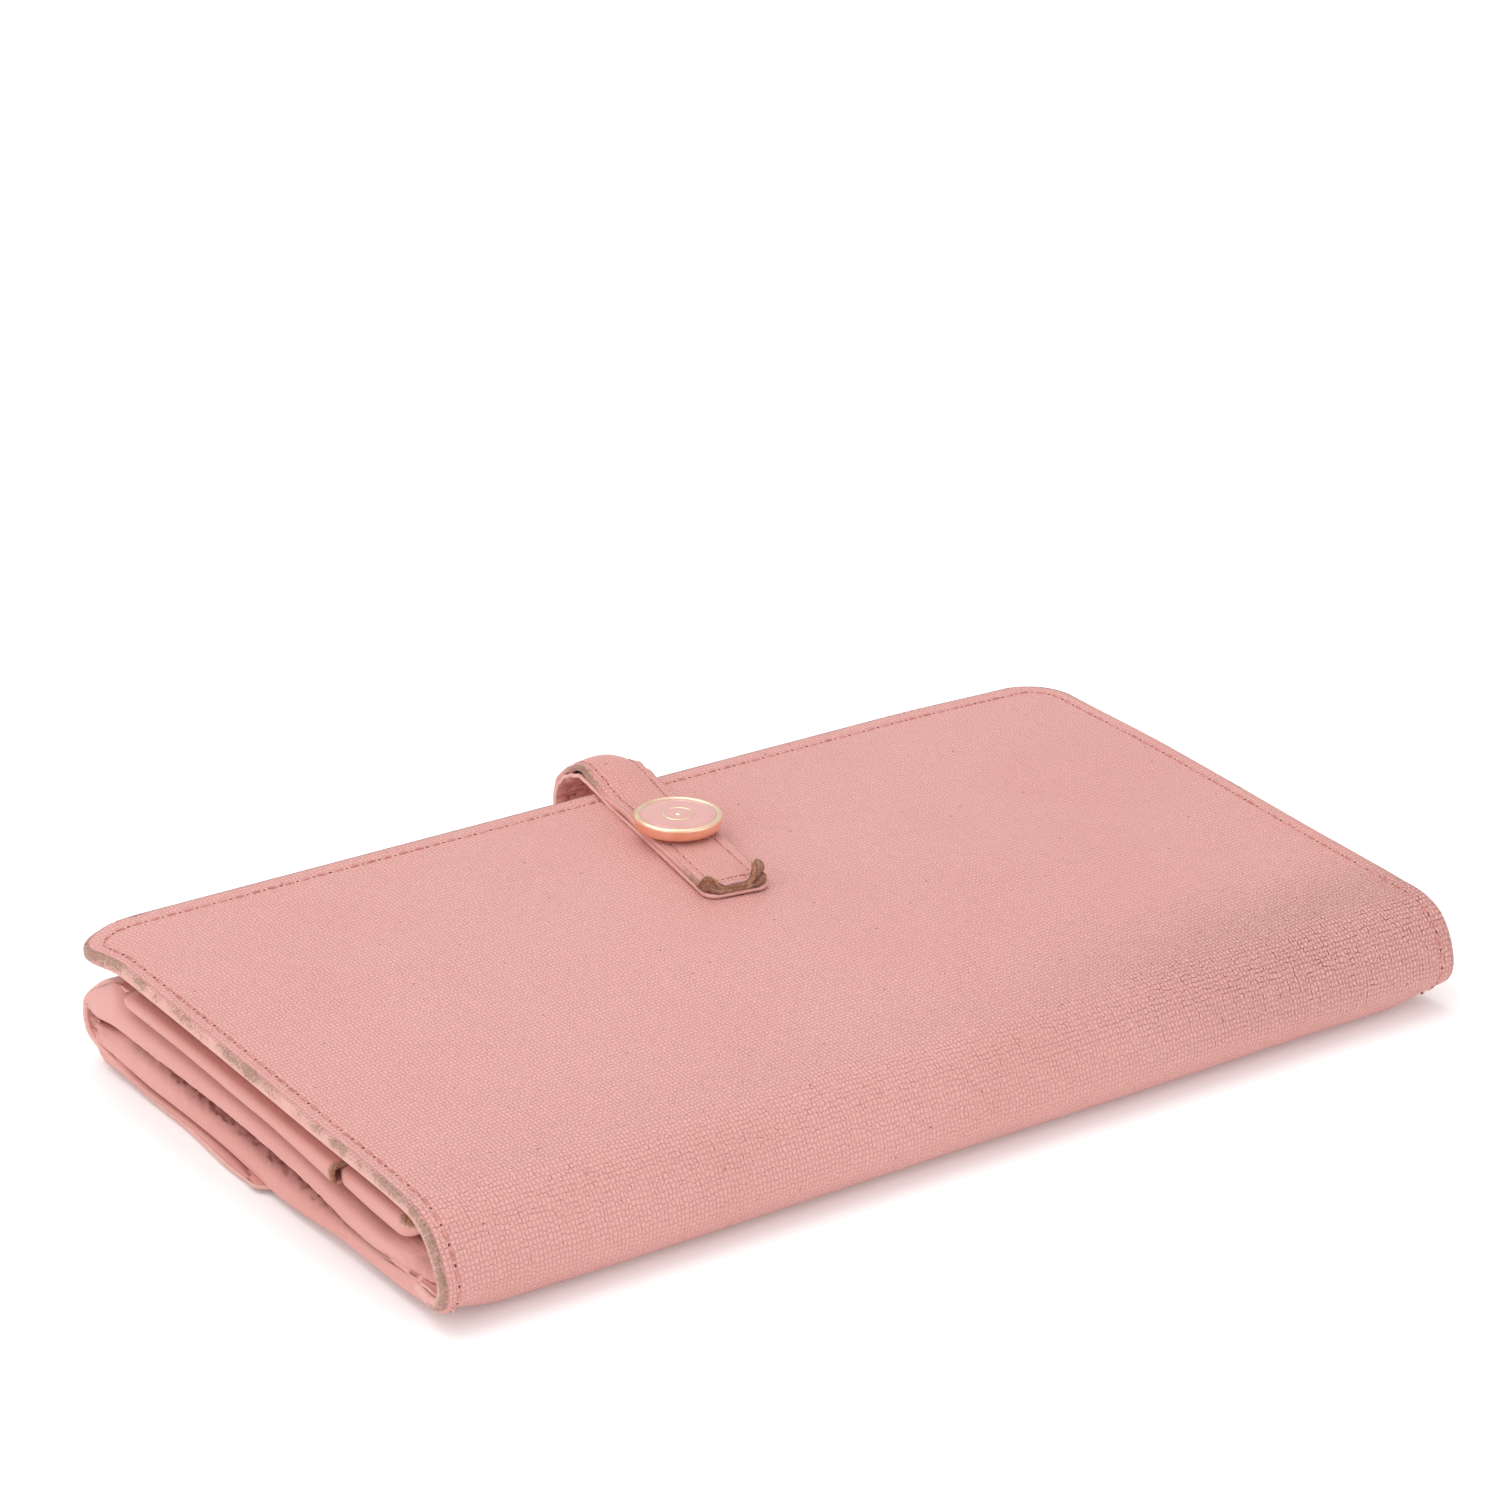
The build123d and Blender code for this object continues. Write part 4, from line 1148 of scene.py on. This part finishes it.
def strap_shift(x, s):
    """Relief of the strap's leather: grooves at the stitches, a buckled edge on the loop, and the curled tip."""
    edge = strap_from_edge(x, s)
    groove = -0.16 * hump(edge, STRAP_STITCH_INSET, 0.35)
    loop = hump(s, T_LOOP - 3, 11)
    buckle = 0.5 * loop * (1 - step(edge, 0.2, 2.4)) * rough(x / 9 + 2, s / 2.4)
    crown = (0.2 + 1.1 * loop) * (1 - (x / STRAP_HALF) ** 2) - 0.2 - 0.8 * loop * step(x, 0, STRAP_HALF)
    wave = 0.35 * (x < 0) * (1 - step(edge, 0, 3)) * (hump(s, T_LOOP - 22, 4) - hump(s, T_LOOP - 14, 4))
    return groove + buckle + crown + wave + tip_roll(x, s)[1] + 0.1 * rough(x / 7, s / 8)


def lining_shift(x, s):
    """Relief of the strap's lining, which is gathered where the loop turns tightly."""
    edge = strap_from_edge(x, s)
    loop = hump(s, T_LOOP + 3, 13)
    gathers = rough(x / 3.5, s / 1.7) + 0.8 * rough(x / 1.8 + 3, s / 0.9)
    wave = 0.3 * loop * (1 - step(edge, 0, 1.5)) * rough(x / 5 + 7, s / 2.2)
    return -0.9 * loop * np.abs(gathers) * step(edge, -0.2, 1.6) + wave


def strap_wear(x, s):
    """Raw leather at the tip and rubbed edges on the loop."""
    edge = strap_from_edge(x, s)
    tip = 1.3 * (1 - step(s, 0.9, 2.6)) * (1 - step(edge, 0.1, 1.1)) * (0.45 + 0.55 * step(np.abs(x), 1.5, 4))
    tip = np.maximum(tip, 1.5 * step(tip_roll(x, s)[1], 0.35, 0.8))
    sides = 0.75 * (1 - step(edge, -0.1, 0.8)) * (1 - step(s, 6, 15))
    loop = (x < 0) * 0.95 * hump(s, T_LOOP - 6, 8) * (1 - step(edge, -0.2, 2.6))
    rest = 0.12 * (1 - step(edge, -0.1, 0.4)) * (0.4 + rough(x, s / 6))
    return np.clip(tip + sides + loop + rest, 0, 1.3)


strap_skin.shift, strap_skin.pull = strap_shift, strap_pull
strap_rows = spread(0.7, T_END, 0.6, tuple(sorted(set((0, 0.5, 1.0, 1.4, 1.9, 2.3) + round_rows(TIP_CORNER)))))
strap_cols = (0, 0.5, 0.9, 1.3, 1.6, 1.9, 2.2, 2.6)


def strap_half(s, start, half=STRAP_HALF, corner=TIP_CORNER):
    """Half width of a strap layer whose rounded corners are at start."""
    over = np.clip(corner - (np.asarray(s, float) - start), 0, corner)
    return half - corner + np.sqrt(corner**2 - over**2)


strap = sheet(
    "strap_skin", strap_skin, strap_rows, lambda s: strap_half(s, 0.7), STRAP_LEATHER, rim=0.4, square=0.7, pitch=0.8,
    insets=strap_cols, turns=8, wear=strap_wear,
)
dress(strap, STRAP_GRAIN)
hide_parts("strap_leather", "strap_loop", "strap_end")

strap_lining_skin = Skin(STRAP_LINE, shift=lining_shift, depth=STRAP_LEATHER + 0.06, turned=True)
strap_lining = sheet(
    "strap_lining_skin", strap_lining_skin,
    spread(0.1, T_END, 0.3, tuple(sorted(set(PLAIN_INSETS + round_rows(TIP_CORNER))))),
    lambda s: strap_half(s, 0.1, STRAP_HALF + 0.1), STRAP_LINING, rim=0.3, pitch=0.45, insets=(0, 0.5, 1.0), turns=7,
)
dress(strap_lining, SMOOTH)
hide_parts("strap_lining")


def core_shift(x, s):
    """The core is torn open at the tip's corners."""
    return 0.5 * tip_roll(x, s)[1] + 0.3 * rough(x / 0.9, s / 0.9)


strap_core_skin = Skin(STRAP_LINE, shift=core_shift, depth=STRAP_LEATHER - 0.35, turned=True)
strap_core = sheet(
    "strap_core", strap_core_skin, spread(0.35, 7, 0.3), lambda s: strap_half(s, 0.35, STRAP_HALF - 0.12), 0.75,
    rim=0.25, pitch=0.35, insets=(0, 0.3), turns=6,
)
dress(strap_core, RAW_CORE)

strap_sewing = Stitching()
strap_inner = STRAP_HALF - STRAP_STITCH_INSET
strap_path = [(-strap_inner, T_LOOP + 22), (-strap_inner, 2.9), (strap_inner, 2.9), (strap_inner, T_LOOP + 22)]
strap_sewing.row(strap_skin, dense(strap_path, 0.5), pitch=2.3, radius=0.2, gap=0.5)
strap_sewing = strap_sewing.piece("strap_stitching", "grained_leather")


# ----- button
button_at = (BUTTON_X, BUTTON_Y, BUTTON_TOP)
button = lathe(
    "button_body",
    [(0, -0.42), (5.95, -0.42), (6.05, -0.36), (6.1, -0.05), (6.18, 0), (6.62, 0), (6.78, -0.05), (6.88, -0.18),
     (6.9, -0.4), (6.84, -1.2), (6.72, -1.75), (6.6, -1.95), (6.35, -2.06), (2.4, -2.1), (2.2, -3.4), (0, -3.4)],
    button_at,
)
dress(button, ROSE_GOLD)
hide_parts("button_cap")
rim_ring = lathe(
    "button_rim",
    [(0, -0.3), (5.85, -0.3), (6.02, -0.1), (6.12, 0.03), (6.3, 0.07), (6.5, 0.06), (6.66, 0.0), (6.72, -0.08),
     (6.4, -0.35), (0, -0.4)],
    button_at,
)
dress(rim_ring, PALE_GOLD)
enamel = lathe(
    "button_enamel_face",
    [(0, -0.02), (2.5, -0.025), (4.9, -0.05), (5.5, -0.07), (5.62, -0.14), (5.76, -0.14), (5.86, -0.08),
     (5.96, -0.1), (5.98, -0.28), (0, -0.28)],
    button_at,
)
dress(enamel, ENAMEL)
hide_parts("button_enamel")
motif = tube_ring("button_ring_motif", (BUTTON_X, BUTTON_Y, BUTTON_TOP - 0.01), 2.35, 0.42, 0.16)
dress(motif, PALE_GOLD)
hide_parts("button_motif")
dot = lathe("button_dot_motif", [(0, 0.1), (0.3, 0.08), (0.5, 0.02), (0.56, -0.05), (0, -0.06)], button_at, turns=32)
dress(dot, PALE_GOLD)

# ----- transforms applied to the skins, and the button put on the strap's body


for piece in (cover, cover_lining, cover_sewing):
    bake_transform(piece)
for piece in (back, spine_lining, back_sewing):
    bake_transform(piece)
for piece in (flap, flap_sewing):
    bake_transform(piece)
for piece in (strap, strap_lining, strap_core, strap_sewing):
    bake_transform(piece)
for piece in (button, rim_ring, enamel, motif, dot):
    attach(piece, "strap")

for word in ("left", "right"):
    for n in (1, 2, 3, 4):
        leaf(f"cover_card_slot_{word}_{n}", 1.6, SMOOTH, body="cover")

# ----- finish of the CAD pieces that show
slot_of = {entry["node"]: entry["material_slot"] for entry in frame["record"]["subparts"]}
for name, node in frame["nodes"].items():
    if node.hide_render:
        continue
    if not node.data.uv_layers.get("surface"):
        layer = node.data.uv_layers.new(name="surface")
        for corner in node.data.loops:
            place = node.data.vertices[corner.vertex_index].co
            layer.data[corner.index].uv = (place.x * 10, place.y * 10)
    node.data.materials.clear()
    node.data.materials.append(SLOT_LOOKS[slot_of[name]])

# ----- stage, light and camera
CAMERA_AT = (-0.3919, -0.5392, 0.3230)
CAMERA_RIGHT = (0.8125, -0.5828, 0.0145)
CAMERA_UP = (0.2141, 0.3214, 0.9224)
CAMERA_LENS = 115.0


def floor_look():
    look = Look("floor")
    cloud = look.noise(look.body, 3.0, 2.0)
    tone = look.mix(look.ramp(cloud, 0.3, 0.7), linear(249, 249, 249), linear(251, 251, 251))
    return look.finish(Base_Color=tone, Roughness=0.9, Specular_IOR_Level=0.0,
                       Emission_Color=(1.0, 0.985, 0.98, 1.0), Emission_Strength=0.09)


floor_mesh = bpy.data.meshes.new("floor")
reach = 4.0
floor_mesh.from_pydata([(-reach, -reach, 0), (reach, -reach, 0), (reach, reach, 0), (-reach, reach, 0)], [], [(0, 1, 2, 3)])
floor = bpy.data.objects.new("floor", floor_mesh)
bpy.context.scene.collection.objects.link(floor)
floor_mesh.materials.append(floor_look())

world = bpy.data.worlds.new("studio")
world.use_nodes = True
world.node_tree.nodes["Background"].inputs["Color"].default_value = (1.0, 1.0, 1.0, 1.0)
world.node_tree.nodes["Background"].inputs["Strength"].default_value = 0.78
bpy.context.scene.world = world


def softbox(name, at, towards, size, power):
    """Large soft area light."""
    data = bpy.data.lights.new(name, "AREA")
    data.shape = "RECTANGLE"
    data.size, data.size_y = size
    data.energy = power
    light = bpy.data.objects.new(name, data)
    light.location = at
    light.rotation_euler = (Vector(towards) - Vector(at)).to_track_quat("-Z", "Y").to_euler()
    bpy.context.scene.collection.objects.link(light)
    return light


softbox("top_softbox", (-0.15, 0.35, 1.1), (0, 0, 0), (1.3, 1.0), 7.0)
softbox("left_softbox", (-1.1, -0.25, 0.55), (0, 0, 0.01), (0.9, 0.7), 2.5)
softbox("front_softbox", (0.35, -1.1, 0.4), (0, 0, 0.01), (1.0, 0.6), 2.6)

camera_data = bpy.data.cameras.new("camera")
camera_data.lens = CAMERA_LENS
camera_data.sensor_width = 36.0
camera_data.clip_start = 0.01
camera = bpy.data.objects.new("camera", camera_data)
right, up = Vector(CAMERA_RIGHT).normalized(), Vector(CAMERA_UP).normalized()
camera.matrix_world = Matrix.Translation(CAMERA_AT) @ Matrix((right, up, right.cross(up))).transposed().to_4x4()
bpy.context.scene.collection.objects.link(camera)
bpy.context.scene.camera = camera
bpy.context.scene.view_settings.view_transform = "Standard"
